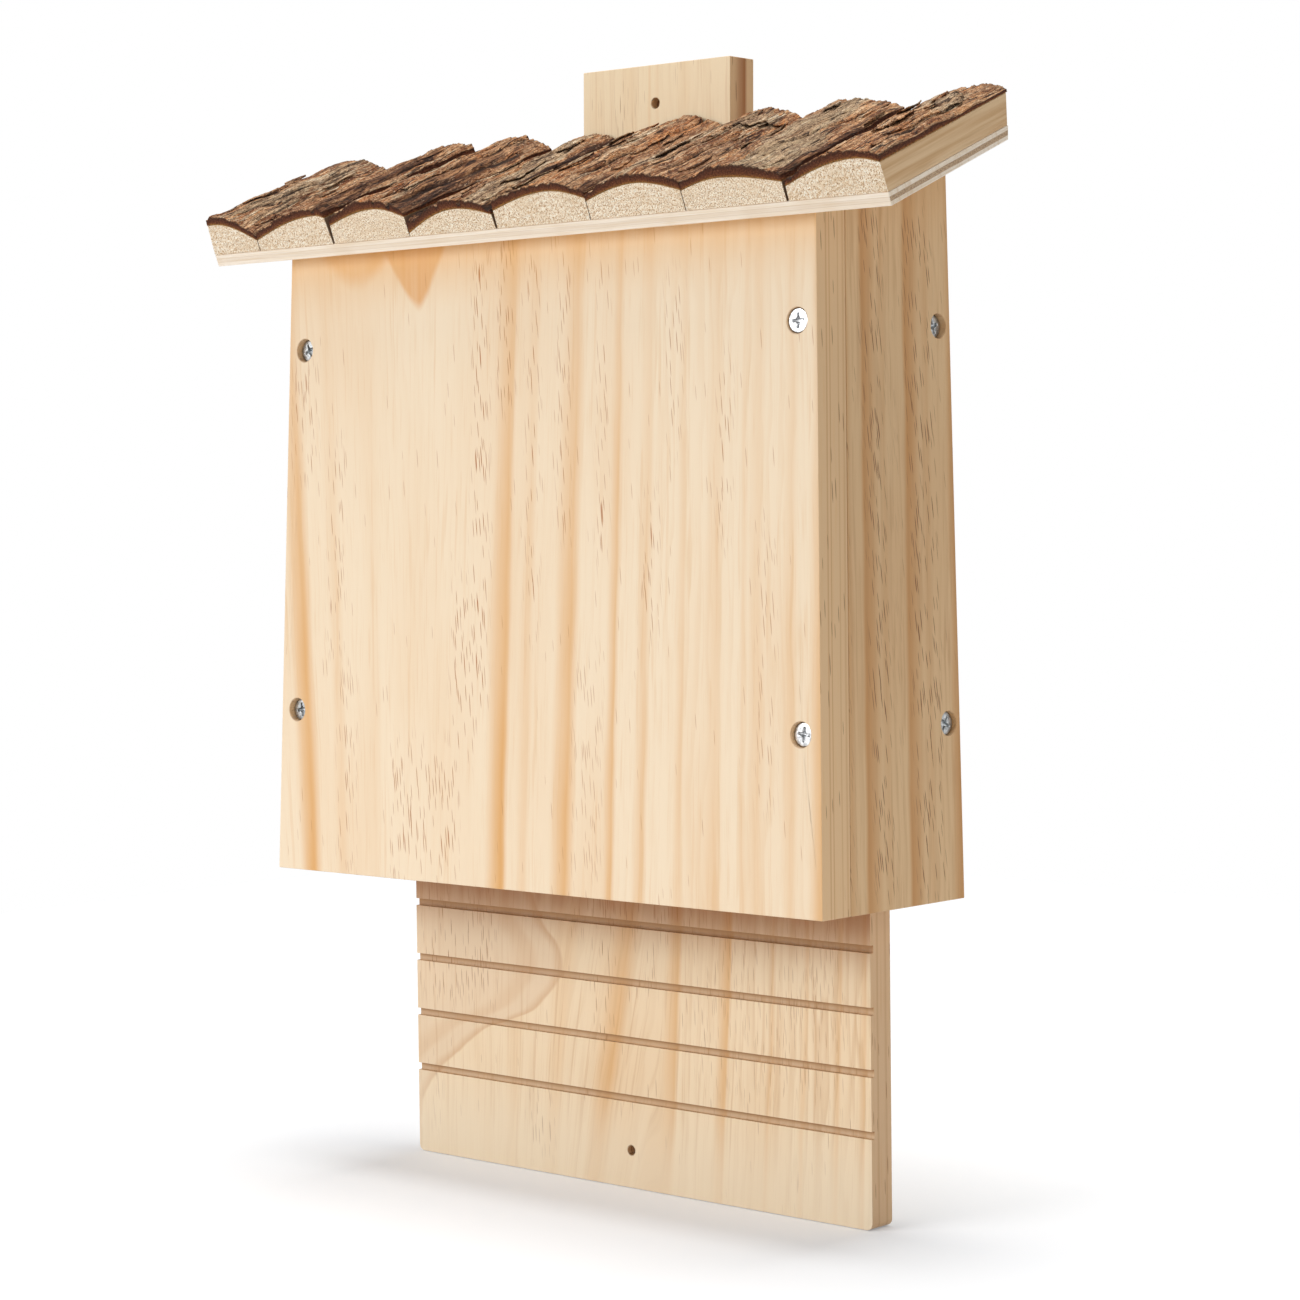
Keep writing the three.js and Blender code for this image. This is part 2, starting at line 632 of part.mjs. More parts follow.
function barkPiece(slat) {
  const corners = [];
  let count = 0;
  for (let j = 0; j < barkStations; j += 1) {
    const along = j / (barkStations - 1);
    const columns = barkColumns(slat, along);
    count = columns.length;
    for (const layer of [0, 1]) {
      for (const [across, thickness] of columns) {
        const z = slatBottom + slatHeightAt(slat, across) + seatGap + layer * Math.max(thinBark, thickness);
        corners.push(placeOn(slat, across, along), along * slopeRunAt(z, slatRearGap), z);
      }
    }
  }
  const ring = [];
  for (let i = 0; i < count; i += 1) ring.push(i);
  for (let i = count - 1; i >= 0; i -= 1) ring.push(count + i);
  const faces = [];
  const quad = (a, b, c, d) => faces.push(a, b, c, a, c, d);
  for (let j = 0; j + 1 < barkStations; j += 1) {
    const here = 2 * count * j;
    const next = here + 2 * count;
    ring.forEach((from, index) => {
      const to = ring[(index + 1) % ring.length];
      quad(here + from, next + from, next + to, here + to);
    });
  }
  const rear = 2 * count * (barkStations - 1);
  for (let i = 0; i + 1 < count; i += 1) {
    quad(i, i + 1, count + i + 1, count + i);
    quad(rear + i + 1, rear + i, rear + count + i, rear + count + i + 1);
  }
  const geometry = new THREE.BufferGeometry();
  geometry.setAttribute('position', new THREE.Float32BufferAttribute(corners, 3));
  geometry.setIndex(faces);
  geometry.computeVertexNormals();
  return piece(`bark_${slat.number}`, geometry, 'bark');
}

function roofBoard() {
  const outline = [
    [0, 0], [slopeRunAt(0), 0], [slopeRunAt(roofThickness), roofThickness], [0, roofThickness],
  ];
  const board = alongX(outline, roofWidth).translate(-roofWidth / 2, 0, 0);
  const seats = roofScrews.map((screw) => seatOf(screw, shortScrew, hiddenSegments));
  for (const slat of slats) seats.push(...pinPoses(slat).map((pose) => pinSeat().applyMatrix4(pose)));
  return piece('roof_board', cut(board, seats), 'plywood');
}

function slatPins(slat) {
  return pinPoses(slat).map((pose, index) => {
    const pin = piece(`slat_pin_${slat.number}_${index + 1}`, pinGeometry(), 'zinc');
    pin.applyMatrix4(pose);
    return pin;
  });
}

roof.add(roofBoard(), ...screwPieces(roofScrews, shortScrew, hiddenSegments));
for (const slat of slats) roof.add(slatPiece(slat), barkPiece(slat), ...slatPins(slat));

const assembly = new THREE.Group();
assembly.position.z = -originRise;
assembly.add(
  backBoard(), sidePanel('left_side', -1), sidePanel('right_side', 1), frontPanel(), landingBoard(), roof,
  ...screwPieces(frontScrews, longScrew, screwSegments),
  ...screwPieces(sideScrews, longScrew, screwSegments),
  ...screwPieces(landingScrews, shortScrew, hiddenSegments),
);

const batBox = new THREE.Group();
batBox.add(assembly);

export default batBox;
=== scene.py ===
import math
from functools import reduce

import bmesh
import bpy
import numpy as np
from mathutils import Matrix, Vector


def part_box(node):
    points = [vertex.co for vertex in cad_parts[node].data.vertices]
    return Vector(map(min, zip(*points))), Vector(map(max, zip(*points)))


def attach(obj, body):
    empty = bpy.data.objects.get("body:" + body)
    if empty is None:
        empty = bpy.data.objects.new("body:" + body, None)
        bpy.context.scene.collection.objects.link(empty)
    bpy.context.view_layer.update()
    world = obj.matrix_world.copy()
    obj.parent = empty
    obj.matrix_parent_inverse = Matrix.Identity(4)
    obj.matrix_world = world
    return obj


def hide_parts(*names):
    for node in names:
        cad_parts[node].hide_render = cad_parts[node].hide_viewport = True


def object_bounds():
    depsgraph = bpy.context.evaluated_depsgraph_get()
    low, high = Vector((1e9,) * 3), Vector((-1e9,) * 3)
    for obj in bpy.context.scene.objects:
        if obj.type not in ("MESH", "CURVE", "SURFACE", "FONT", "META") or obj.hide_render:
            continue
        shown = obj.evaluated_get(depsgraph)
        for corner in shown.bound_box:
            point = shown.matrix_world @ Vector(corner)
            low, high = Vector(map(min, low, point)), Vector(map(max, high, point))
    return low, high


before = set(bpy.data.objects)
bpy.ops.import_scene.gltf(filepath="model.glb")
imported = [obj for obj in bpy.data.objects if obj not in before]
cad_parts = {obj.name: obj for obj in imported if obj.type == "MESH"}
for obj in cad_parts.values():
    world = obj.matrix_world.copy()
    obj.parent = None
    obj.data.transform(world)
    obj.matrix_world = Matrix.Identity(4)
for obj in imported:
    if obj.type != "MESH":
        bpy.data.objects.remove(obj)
cad_low, cad_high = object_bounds()

# Lengths below are in millimetres and angles in degrees, unless a name says otherwise.
# Heights are measured up from the landing board's lower edge, as the row frame's z plus ORIGIN_RISE.
MM = 0.001
ORIGIN_RISE = -cad_low.z / MM
ROOF_SLOPE = math.radians(22.1)
ROOF_COS, ROOF_SIN = math.cos(ROOF_SLOPE), math.sin(ROOF_SLOPE)
ROOF_THICKNESS = 4.6
ROOF_ORIGIN = Vector((0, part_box("roof_board")[0].y + ROOF_THICKNESS * ROOF_SIN * MM,
                      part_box("roof_board")[0].z))
REAR_CUT_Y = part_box("roof_board")[1].y / MM
ROOT = "root"

# Camera and light, in metres and watts

CAMERA_PLACE = (0.7760, -0.8807, 0.0446)
CAMERA_TURNS = (41.80, -2.57, -0.654)
FOCAL_PIXELS, PICTURE_PIXELS, SENSOR_WIDTH = 3169.9, 1300, 36
LAMP_TARGET = Vector((0, 0, 0))
LAMPS = [("key", (-0.95, -1.95, 0.75), 1.3, 23.6, (1.0, 0.99, 0.985)),
         ("right_fill", (2.2, -0.5, 0.5), 1.2, 5.8, (1.0, 0.97, 0.93)),
         ("top", (0, 0, 4.0), 2.0, 120, (1.0, 1.0, 1.0))]
WORLD_LIGHT = 0.3
FLOOR_HALF = 0.85
FLOOR_DROP = 0.2 * MM
FLOOR_COLOUR = (0.82, 0.82, 0.82, 1)
FLOOR_GLOW = 0.2
GLOW_COLOUR = (1.0, 1.07, 1.16, 1)


def add_object(name, data):
    made = bpy.data.objects.new(name, data)
    bpy.context.scene.collection.objects.link(made)
    return made


def make_camera():
    azimuth, pitch, roll = (math.radians(a) for a in CAMERA_TURNS)
    forward = Vector((-math.sin(azimuth) * math.cos(pitch), math.cos(azimuth) * math.cos(pitch),
                      math.sin(pitch)))
    level = Vector((math.cos(azimuth), math.sin(azimuth), 0))
    upright = level.cross(forward)
    right = level * math.cos(roll) + upright * math.sin(roll)
    up = upright * math.cos(roll) - level * math.sin(roll)
    data = bpy.data.cameras.new("camera")
    data.sensor_width = SENSOR_WIDTH
    data.lens = FOCAL_PIXELS / PICTURE_PIXELS * SENSOR_WIDTH
    camera = add_object("camera", data)
    axes = Matrix((right, up, -forward)).transposed().to_4x4()
    camera.matrix_world = Matrix.Translation(CAMERA_PLACE) @ axes
    bpy.context.scene.camera = camera


def area_light(name, place, width, watts, colour):
    data = bpy.data.lights.new(name, "AREA")
    data.shape = "SQUARE"
    data.size = width
    data.energy = watts
    data.color = colour
    light = add_object(name, data)
    light.location = place
    light.rotation_mode = "QUATERNION"
    light.rotation_quaternion = (LAMP_TARGET - Vector(place)).to_track_quat("-Z", "Y")


def set_strength(tree, strength, lighting, shown):
    """Sets a strength for the rays that light things, and another one for the rays that show a background,
    which are camera, glossy and transmission rays"""
    path = tree.nodes.new("ShaderNodeLightPath")
    direct = path.outputs["Is Camera Ray"]
    for output in ("Is Glossy Ray", "Is Transmission Ray"):
        either = tree.nodes.new("ShaderNodeMath")
        either.operation = "MAXIMUM"
        tree.links.new(direct, either.inputs[0])
        tree.links.new(path.outputs[output], either.inputs[1])
        direct = either.outputs[0]
    level = tree.nodes.new("ShaderNodeMapRange")
    tree.links.new(direct, level.inputs["Value"])
    level.inputs["To Min"].default_value = lighting
    level.inputs["To Max"].default_value = shown
    tree.links.new(level.outputs[0], strength)


def make_world():
    world = bpy.data.worlds.new("studio")
    world.use_nodes = True
    bpy.context.scene.world = world
    background = next(n for n in world.node_tree.nodes if n.type == "BACKGROUND")
    background.inputs["Color"].default_value = (1, 1, 1, 1)
    set_strength(world.node_tree, background.inputs["Strength"], WORLD_LIGHT, 1)


def make_floor():
    z = cad_low.z - FLOOR_DROP
    mesh = bpy.data.meshes.new("floor")
    mesh.from_pydata([(x * FLOOR_HALF, y * FLOOR_HALF, z) for x, y in ((-1, -1), (1, -1), (1, 1), (-1, 1))],
                     [], [(0, 1, 2, 3)])
    material = bpy.data.materials.new("floor")
    material.use_nodes = True
    tree = material.node_tree
    tree.nodes.clear()
    diffuse, emission, both, output = (tree.nodes.new("ShaderNode" + kind) for kind in
                                       ("BsdfDiffuse", "Emission", "AddShader", "OutputMaterial"))
    diffuse.inputs["Color"].default_value = FLOOR_COLOUR
    emission.inputs["Color"].default_value = GLOW_COLOUR
    set_strength(tree, emission.inputs["Strength"], 0, FLOOR_GLOW)
    tree.links.new(diffuse.outputs[0], both.inputs[0])
    tree.links.new(emission.outputs[0], both.inputs[1])
    tree.links.new(both.outputs[0], output.inputs["Surface"])
    mesh.materials.append(material)
    add_object("floor", mesh)


bpy.context.scene.view_settings.view_transform = "Standard"
make_camera()
make_world()
make_floor()
for lamp in LAMPS:
    area_light(*lamp)


# Shader graphs

def linear(colour):
    """A colour written as 0 to 255, as the shader's own linear numbers. A node's value stays as it is."""
    if isinstance(colour, Value):
        return colour
    parts = [c / 255 for c in colour]
    return tuple(c / 12.92 if c <= 0.04045 else ((c + 0.055) / 1.055) ** 2.4 for c in parts) + (1,)


def math_method(operation):
    """A method that makes a math node from a value and another input"""
    def method(self, other=0.0):
        return self.graph.math(operation, self, other)
    return method


class Value:
    """What a node gives out. It can be used in sums like a number, and each sum makes a node."""

    def __init__(self, graph, socket):
        self.graph = graph
        self.socket = socket

    __add__ = math_method("ADD")
    __sub__ = math_method("SUBTRACT")
    __mul__ = math_method("MULTIPLY")
    __truediv__ = math_method("DIVIDE")
    __mod__ = math_method("FLOORED_MODULO")
    __abs__ = math_method("ABSOLUTE")
    greater = math_method("MAXIMUM")

    def __rsub__(self, other):
        return self.graph.math("SUBTRACT", other, self)

    def hypot(self, other):
        return self.graph.math("SQRT", self * self + other * other)

    def ring(self, sharp):
        """A line in each whole turn of the value, soft on one side, as growth rings are"""
        turn = self.graph.math("FRACT", self)
        return turn.step(*sharp) * turn.step(1.0, 0.9)

    def step(self, start, end):
        """A smooth step from 0 at start to 1 at end; start may be the larger one"""
        limits = (start, end, 0.0, 1.0) if start < end else (end, start, 1.0, 0.0)
        settings = {"interpolation_type": "SMOOTHSTEP"}
        return self.graph.value("MapRange", settings, dict(enumerate((self, *limits))))

    def spread(self, low, high):
        """Moves a 0 to 1 value to low to high, without clamping"""
        return self.graph.value("MapRange", {"clamp": False}, {0: self, 3: low, 4: high})

    def share(self, low, high):
        """How far the value lies from low to high, clamped to 0 to 1"""
        return self.graph.value("MapRange", {}, {0: self, 1: low, 2: high})


class Graph:
    """Builds the nodes of one material. Inputs are numbers, vectors, colours or values of other nodes."""

    def __init__(self, name, metallic=0.0):
        self.material = bpy.data.materials.new(name)
        self.material.use_nodes = True
        self.tree = self.material.node_tree
        self.shader = next(n for n in self.tree.nodes if n.type == "BSDF_PRINCIPLED")
        self.shader.inputs["Metallic"].default_value = metallic

    def put(self, socket, value):
        if isinstance(value, Value):
            self.tree.links.new(value.socket, socket)
        else:
            socket.default_value = value

    def node(self, kind, settings, inputs):
        made = self.tree.nodes.new("ShaderNode" + kind)
        for key, value in settings.items():
            setattr(made, key, value)
        for key, value in inputs.items():
            self.put(made.inputs[key], value)
        return made

    def value(self, kind, settings, inputs, output=0):
        return Value(self, self.node(kind, settings, inputs).outputs[output])

    def math(self, operation, a, b=0.0):
        return self.value("Math", {"operation": operation}, {0: a, 1: b})

    def vector(self, parts):
        return self.value("CombineXYZ", {}, dict(enumerate(parts)))

    def dot(self, vector, axis):
        return self.value("VectorMath", {"operation": "DOT_PRODUCT"}, {0: vector, 1: axis}, "Value")

    def noise(self, place, detail=2.0, roughness=0.5):
        """Noise from 0 to 1 at a place given as three parts"""
        inputs = {"Vector": self.vector(place), "Scale": 1.0, "Detail": detail, "Roughness": roughness}
        return self.value("TexNoise", {}, inputs, "Fac")

    def cell_node(self, place, feature, dimensions="2D"):
        return self.node("TexVoronoi", {"feature": feature, "voronoi_dimensions": dimensions},
                         {"Vector": self.vector(place), "Scale": 1.0, "Randomness": 1.0})

    def cells(self, place, dimensions="2D"):
        """The distance to the middle of the nearest cell of a pattern, and three random numbers for it"""
        cell = self.cell_node(place, "F1", dimensions)
        pick = self.node("SeparateColor", {}, {0: Value(self, cell.outputs["Color"])})
        return Value(self, cell.outputs["Distance"]), [Value(self, number) for number in pick.outputs]

    def cell_rims(self, place):
        """The distance to the nearest border of the same cells"""
        return Value(self, self.cell_node(place, "DISTANCE_TO_EDGE").outputs["Distance"])

    def mix(self, share, under, over):
        """Lays a share of one colour over another"""
        return self.value("Mix", {"data_type": "RGBA"}, {0: share, 6: linear(under), 7: linear(over)}, 2)

    def ramp(self, value, stops):
        """stops are (place, colour or grey level) pairs, places from 0 to 1"""
        made = self.node("ValToRGB", {}, {0: value})
        elements = made.color_ramp.elements
        while len(elements) > 1:
            elements.remove(elements[-1])
        for index, (place, colour) in enumerate(stops):
            element = elements[0] if index == 0 else elements.new(place)
            element.position = place
            element.color = linear(colour) if isinstance(colour, tuple) else (colour, colour, colour, 1)
        return Value(self, made.outputs["Color"])

    def curve(self, value, points):
        """A smooth curve through (value, result) points; it keeps its end results outside them"""
        low, high = points[0][0], points[-1][0]
        results = [result for _, result in points]
        bottom, top = min(results), max(results)
        made = self.node("FloatCurve", {}, {"Value": value.share(low, high)})
        line = made.mapping.curves[0]
        scaled = [((x - low) / (high - low), (y - bottom) / (top - bottom)) for x, y in points]
        line.points[0].location = scaled[0]
        line.points[-1].location = scaled[-1]
        for place in scaled[1:-1]:
            line.points.new(*place)
        made.mapping.update()
        return Value(self, made.outputs[0]).spread(bottom, top)

    def millimetres(self):
        """The place in the row frame as three values: x, y, and the height over the lower edge"""
        place = self.value("TexCoord", {}, {}, "Object")
        scaled = self.value("VectorMath", {"operation": "SCALE"}, {0: place, "Scale": 1 / MM})
        x, y, z = (Value(self, part) for part in self.node("SeparateXYZ", {}, {0: scaled}).outputs)
        return x, y, z + ORIGIN_RISE

    def roof_millimetres(self):
        """The place in the roof's frame: x, s up the slope and h out of it"""
        place = self.value("TexCoord", {}, {}, "Object")
        moved = self.value("VectorMath", {"operation": "SUBTRACT"}, {0: place, 1: ROOF_ORIGIN})
        axes = ((1, 0, 0), (0, ROOF_COS, ROOF_SIN), (0, -ROOF_SIN, ROOF_COS))
        return [self.dot(moved, axis) * (1 / MM) for axis in axes]

    def facing(self, axis):
        """How far the true surface faces along an axis, either way, from 0 to 1"""
        return abs(self.dot(self.value("NewGeometry", {}, {}, "True Normal"), axis))

    def finish(self, colour, roughness, height, depth):
        """Connects the shader, with a bump of some millimetres, and gives the material"""
        bump = self.value("Bump", {}, {"Height": height, "Distance": depth * MM, "Strength": 1.0})
        for name, value in (("Base Color", colour), ("Roughness", roughness), ("Normal", bump)):
            self.put(self.shader.inputs[name], value)
        return self.material


# Pine

BANDS_PER_RAMP = 7
BOX_FADE_ACROSS, BOX_FADE_ALONG = 3.0, 9.0
RING_SLOPE = 0.35
PINE_RELIEF = 0.12
FRONT_FOOT = 114.7  # the height of the front panel's lower edge
# Dark strokes: rates across and along, size, share of the cells and seed. The third are stray ones.
STROKES = [((1.1, 0.052), 0.25, 0.5, 33.0), ((0.85, 0.036), 0.2, 0.5, 37.0), ((0.5, 0.026), 0.11, 0.24, 41.0)]
RIM_STROKES = ((0.55, 0.035), 0.16, 0.4, 95.0)
X, Y, Z = range(3)
ALONG_X, ALONG_Z = (1, 0, 0), (0, 0, 1)


def band_strength(g, across, bands, low, high):
    """Grey bands across the grain: each is (middle, width, strength, crisp edge: none, "low" or "high")"""
    ramps = []
    for first in range(0, len(bands), BANDS_PER_RAMP):
        stops = [(0.0, 0.0)]
        for middle, width, strength, crisp in sorted(bands[first:first + BANDS_PER_RAMP]):
            tail = 0.16 if crisp else 0.5
            profile = [(-0.75, 0.0), (-0.2, strength * 0.6), (0.38, strength), (0.5 + tail, 0.0)]
            if crisp == "low":
                profile = [(-place, level) for place, level in reversed(profile)]
            for place, level in profile:
                place = min(1.0, max(0.0, (middle + place * width - low) / (high - low)))
                if place <= stops[-1][0]:
                    place = min(1.0, stops[-1][0] + 0.0005)
                stops.append((place, level))
        ramps.append(g.ramp(across.share(low, high), stops))
    return reduce(Value.greater, ramps)


class Pine:
    """One board's look. across, along and depth are values in millimetres, and u is across with its waves."""

    def __init__(self, name, seed, look, axes):
        self.g = g = Graph(name)
        place = g.millimetres()
        across, along, depth = (place[i] for i in axes)
        self.across, self.along, self.depth = across, along, depth
        self.seed = seed
        self.look = look
        slow = g.noise((across * 0.018, along * 0.0065, depth * 0.02 + seed), 1.0)
        quick = g.noise((across * 0.09, along * 0.022, depth * 0.05 + (seed + 7.3)))
        u = across + (slow.spread(-look["wave"], look["wave"]) + quick.spread(-1.1, 1.1))
        u = u - g.curve(across, look["drift"]) * (along - look["level"])
        self.u = u + (depth - look["face"]) * look.get("ring_slope", RING_SLOPE)

    def lines(self, across_rate, along_rate, seed, detail=2.0):
        """Noise that is drawn out along the grain"""
        place = (self.u * across_rate, self.along * along_rate,
                 self.depth * (across_rate * 0.7) + (self.seed + seed))
        return self.g.noise(place, detail, 0.6)

    def dashes(self, across, rates, size, share, seed, slant):
        """Short dark strokes along the grain: one in each kept cell of a stretched cell pattern"""
        across_rate, along_rate = rates
        across = across + self.along * slant
        place = (across * across_rate + (self.seed + seed), self.along * along_rate, 0.0)
        distance, pick = self.g.cells(place)
        stroke = distance / (pick[1].spread(0.5, 1.0) * size)
        return stroke.step(1.0, 0.6) * pick[0].step(share + 0.02, share - 0.02)

    def box(self, low_u, high_u, low_v, high_v, strength):
        """A strength inside a region across and along the board, fading at its borders"""
        wide, long = BOX_FADE_ACROSS, BOX_FADE_ALONG
        inside = self.across.step(low_u - wide, low_u + wide) * self.across.step(high_u + wide, high_u - wide)
        between = self.along.step(low_v - long, low_v + long) * self.along.step(high_v + long, high_v - long)
        return inside * between * strength

    def lobe(self, colour, apex_u, apex_v, steepness, rounding, softness, tone, strength, lean):
        """A tongue of darker wood that hangs down to a rounded point"""
        wobble = self.lines(0.12, 0.05, 61.0).spread(-2.0, 2.0)
        side = self.across + (self.along - apex_v) * lean - apex_u
        edge = (side.hypot(rounding) - rounding) * steepness + apex_v
        inside = (self.along - edge + wobble).step(-softness, softness)
        grain = self.lines(0.3, 0.01, 64.0).spread(0.45, 1.25)
        return self.g.mix(inside * grain * strength, colour, tone)

    def swirl(self, colour, border, tone, strength, line_tone):
        """Cathedral grain: everything to the left of a curved border, with growth lines that follow it"""
        wobble = self.lines(0.06, 0.05, 71.0).spread(-2.2, 2.2)
        reach = self.g.curve(self.along, border) + wobble - self.across
        inside = reach.step(-0.6, 1.4)
        rim = inside * reach.step(7.0, 0.5)
        inner = inside * reach.step(12.0, 17.0) * reach.step(30.0, 19.0)
        colour = self.g.mix(inside * strength, colour, tone)
        return self.g.mix(rim * 0.5 + inner * 0.25, colour, line_tone)

    def paint_shading_and_tint(self, colour, low, high, tone, strength):
        """Paints shade and light by height, partly with a tint of the wood's own: a colour is mixed in from
        low, where it starts, to high, where it is full
        """
        broken = self.lines(0.12, 0.01, 81.0).spread(0.6, 1.3)
        return self.g.mix(self.along.step(low, high) * broken * strength, colour, tone)

    def grooves(self, colour, first, pitch, tall, front, tone):
        """The sawn grooves are browner inside, partly painted shade in the recess, and darkest at the upper
        edge, where a painted shadow line falls
        """
        turn = (self.along - first) % pitch
        inside = turn.step(tall + 0.25, tall - 0.1) * self.depth.step(front + 0.1, front + 0.35)
        inside = inside * self.depth.step(front + 2.2, front + 1.9)
        return self.g.mix(inside * turn.step(0.4, tall).spread(0.4, 0.95), colour, tone)

    def hole_shade(self, colour, middles, radius, tone):
        """Painted shade in and round holes, whose middles are given across and along the board"""
        far = [(self.across - u).hypot(self.along - v) for u, v in middles]
        near = reduce(Value.greater, [distance.step(radius + 0.45, radius - 0.25) for distance in far])
        return self.g.mix(near * 0.8, colour, tone)

    def edges(self, colour, fibre, base, band, bands, lean):
        """Edge faces, with lines that follow the board's faces"""
        inner = self.depth - (self.along - FRONT_FOOT) * lean
        inner = inner + self.lines(0.05, 0.008, 91.0).spread(-0.5, 0.5)
        low = min(middle - width for middle, width, _, _ in bands) - 2
        high = max(middle + width for middle, width, _, _ in bands) + 2
        tone = self.g.mix(band_strength(self.g, inner, bands, low, high), base, band)
        tone = self.g.mix(fibre.step(0.5, 0.8) * 0.3, tone, self.look["line"])
        rim = self.dashes(self.depth, *RIM_STROKES, 0.03)
        tone = self.g.mix(rim * 0.7, tone, self.look["edge_stroke"])
        return self.g.mix(self.g.facing(ALONG_X).step(0.6, 0.85), colour, tone)

    def strokes(self):
        """Thin brown strokes, many in the streaks and few elsewhere"""
        first, second, rare = (self.dashes(self.across, *kind, self.look["slant"]) for kind in STROKES)
        streaks = reduce(Value.greater, [self.box(*streak) for streak in self.look["streaks"]])
        return (first.greater(second) * streaks).greater(rare * 0.75 * self.look["stray"])

    def add(self, colour, key, method):
        for values in self.look.get(key, ()):
            colour = method(colour, *values)
        return colour

    def build(self):
        g, look = self.g, self.look
        strength = band_strength(g, self.u, look["bands"], *look["range"])
        strength = strength * self.lines(0.05, 0.009, 3.1).spread(0.55, 1.35)
        if "band_fade" in look:
            top, bottom, least, most = look["band_fade"]
            strength = strength * self.along.step(top, bottom).spread(least, most)
        colour = g.mix(strength, look["base"], look["band"])
        cloud = self.lines(0.03, 0.006, 11.0, 1.0)
        colour = g.mix(cloud.step(0.42, 0.72) * look["cloud"], colour, look["band"])

        turns = self.u * (1 / look["ring_period"]) + self.lines(0.11, 0.012, 5.0).spread(-1.5, 1.5)
        growth = turns.ring((0.35, 0.88))
        amount = look["ring_plain"]
        for area in look.get("ring_areas", ()):
            amount = self.box(*area).greater(amount)
        broken = self.lines(0.08, 0.016, 8.0).step(0.3, 0.6)
        colour = g.mix(growth * broken * amount, colour, look["line"])
        colour = self.add(colour, "lobes", self.lobe)
        colour = self.add(colour, "swirls", self.swirl)

        fibre = self.lines(1.1, 0.03, 21.0, 3.0)
        colour = g.mix(fibre.step(0.5, 0.8) * look["fibre"], colour, look["line"])
        thin = self.lines(0.42, 0.011, 27.0)
        colour = g.mix(thin.step(0.6, 0.68) * look["thin"], colour, look["line"])
        strokes = self.strokes()
        colour = g.mix(strokes, colour, look["stroke"])
        # Painted shade and light by height, with some of the wood's own tint
        colour = self.add(colour, "shading_and_tint", self.paint_shading_and_tint)
        colour = self.add(colour, "grooves", self.grooves)
        colour = self.add(colour, "hole_shade", self.hole_shade)
        if "edge" in look:
            colour = self.edges(colour, fibre, *look["edge"])

        # End grain
        speckle = g.noise((self.across * 2.6, self.depth * 2.6, self.seed))
        cut = g.mix(speckle.step(0.42, 0.7), look["end"], look["end_dark"])
        cut = g.mix(growth * 0.45, cut, look["end_dark"])
        colour = g.mix(g.facing(ALONG_Z).step(0.75, 0.9), colour, cut)
        height = fibre * 0.5 - strokes * 0.2 - growth * 0.25
        return g.finish(colour, fibre.spread(0.5, 0.72), height, PINE_RELIEF)


def face_place(name):
    """Where the middle of a piece lies across and along the front"""
    low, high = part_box(name)
    middle = (low + high) / 2 / MM
    return middle.x, middle.z + ORIGIN_RISE


FRONT_SCREWS = ["front_screw_%s_%s" % (row, side) for row in ("upper", "lower") for side in ("left", "right")]
# Painted shade inside the small holes of the landing board and the tab, partly the drilled wood's darker
# brown
HOLE_SHADE_TONE = (92, 60, 34)

front_look = {
    "base": (247, 226, 196), "band": (226, 170, 102), "line": (226, 180, 124),
    "stroke": (172, 96, 28), "edge_stroke": (124, 76, 34), "end": (226, 196, 156), "end_dark": (176, 130, 84),
    "face": -74.5, "range": (-140, 140), "wave": 1.0, "level": 240, "cloud": 0.18,
    "drift": [(-135, -0.075), (-110, -0.06), (-60, 0.0), (-16, 0.032), (40, 0.026), (90, 0.01), (135, 0.0)],
    "bands": [(-124, 8, 0.95, None), (-104, 5, 0.25, None), (-84, 6, 0.15, None), (-14.5, 8, 0.95, "high"),
              (-2, 4, 0.35, None), (17, 7, 0.8, None), (39.5, 3.6, 0.8, "high"), (53, 4, 0.5, None),
              (70, 3.5, 0.35, "high"), (84, 5, 0.35, None), (97.5, 1.8, 0.4, "high"), (102, 5, 0.3, None),
              (117, 4, 0.35, None), (129, 5, 0.7, None)],
    "band_fade": (320, 150, 0.6, 1.1),
    "ring_period": 5.2, "ring_plain": 0.05,
    "ring_areas": [(56, 135, 100, 330, 0.15)],
    "streaks": [(-126, -112, 262, 305, 0.8), (-106, -97, 195, 275, 0.8), (-100, -90, 115, 190, 0.7),
                (-30, -22, 175, 345, 1.0), (-40, -28, 160, 225, 0.9), (-72, -36, 112, 165, 0.8),
                (-18, -9, 285, 350, 0.9), (-3, 3, 205, 345, 0.9), (12, 18, 240, 350, 0.8),
                (31, 36, 230, 340, 0.8), (52, 60, 205, 255, 0.8), (62, 70, 270, 330, 0.7),
                (86, 92, 240, 300, 0.8), (20, 34, 120, 200, 0.5), (104, 112, 150, 240, 0.6)],
    "fibre": 0.25, "thin": 0.22, "stray": 0.6, "slant": 0.1,
    "edge": ((229, 193, 148), (198, 150, 98),
             [(-73.6, 0.6, 0.7, None), (-71.8, 0.5, 0.85, "high"), (-67.4, 0.5, 0.5, None),
              (-64.8, 0.8, 0.5, None)], 0.0291),
    "lobes": [(-91, 334, 0.9, 8, 4, (232, 180, 122), 0.85, 0.0),
              (-58, 324.5, 1.7, 4.2, 2.4, (228, 170, 110), 1.0, 0.14)],
    # Painted shade under the roof's front edge, partly the wood's own warmer tone at the top
    "shading_and_tint": [(318, 356, (230, 174, 100), 0.74)],
    # Painted shade in the gaps round the front screw heads
    "hole_shade": [([face_place(name) for name in FRONT_SCREWS], 4.3, (150, 108, 66))],
}
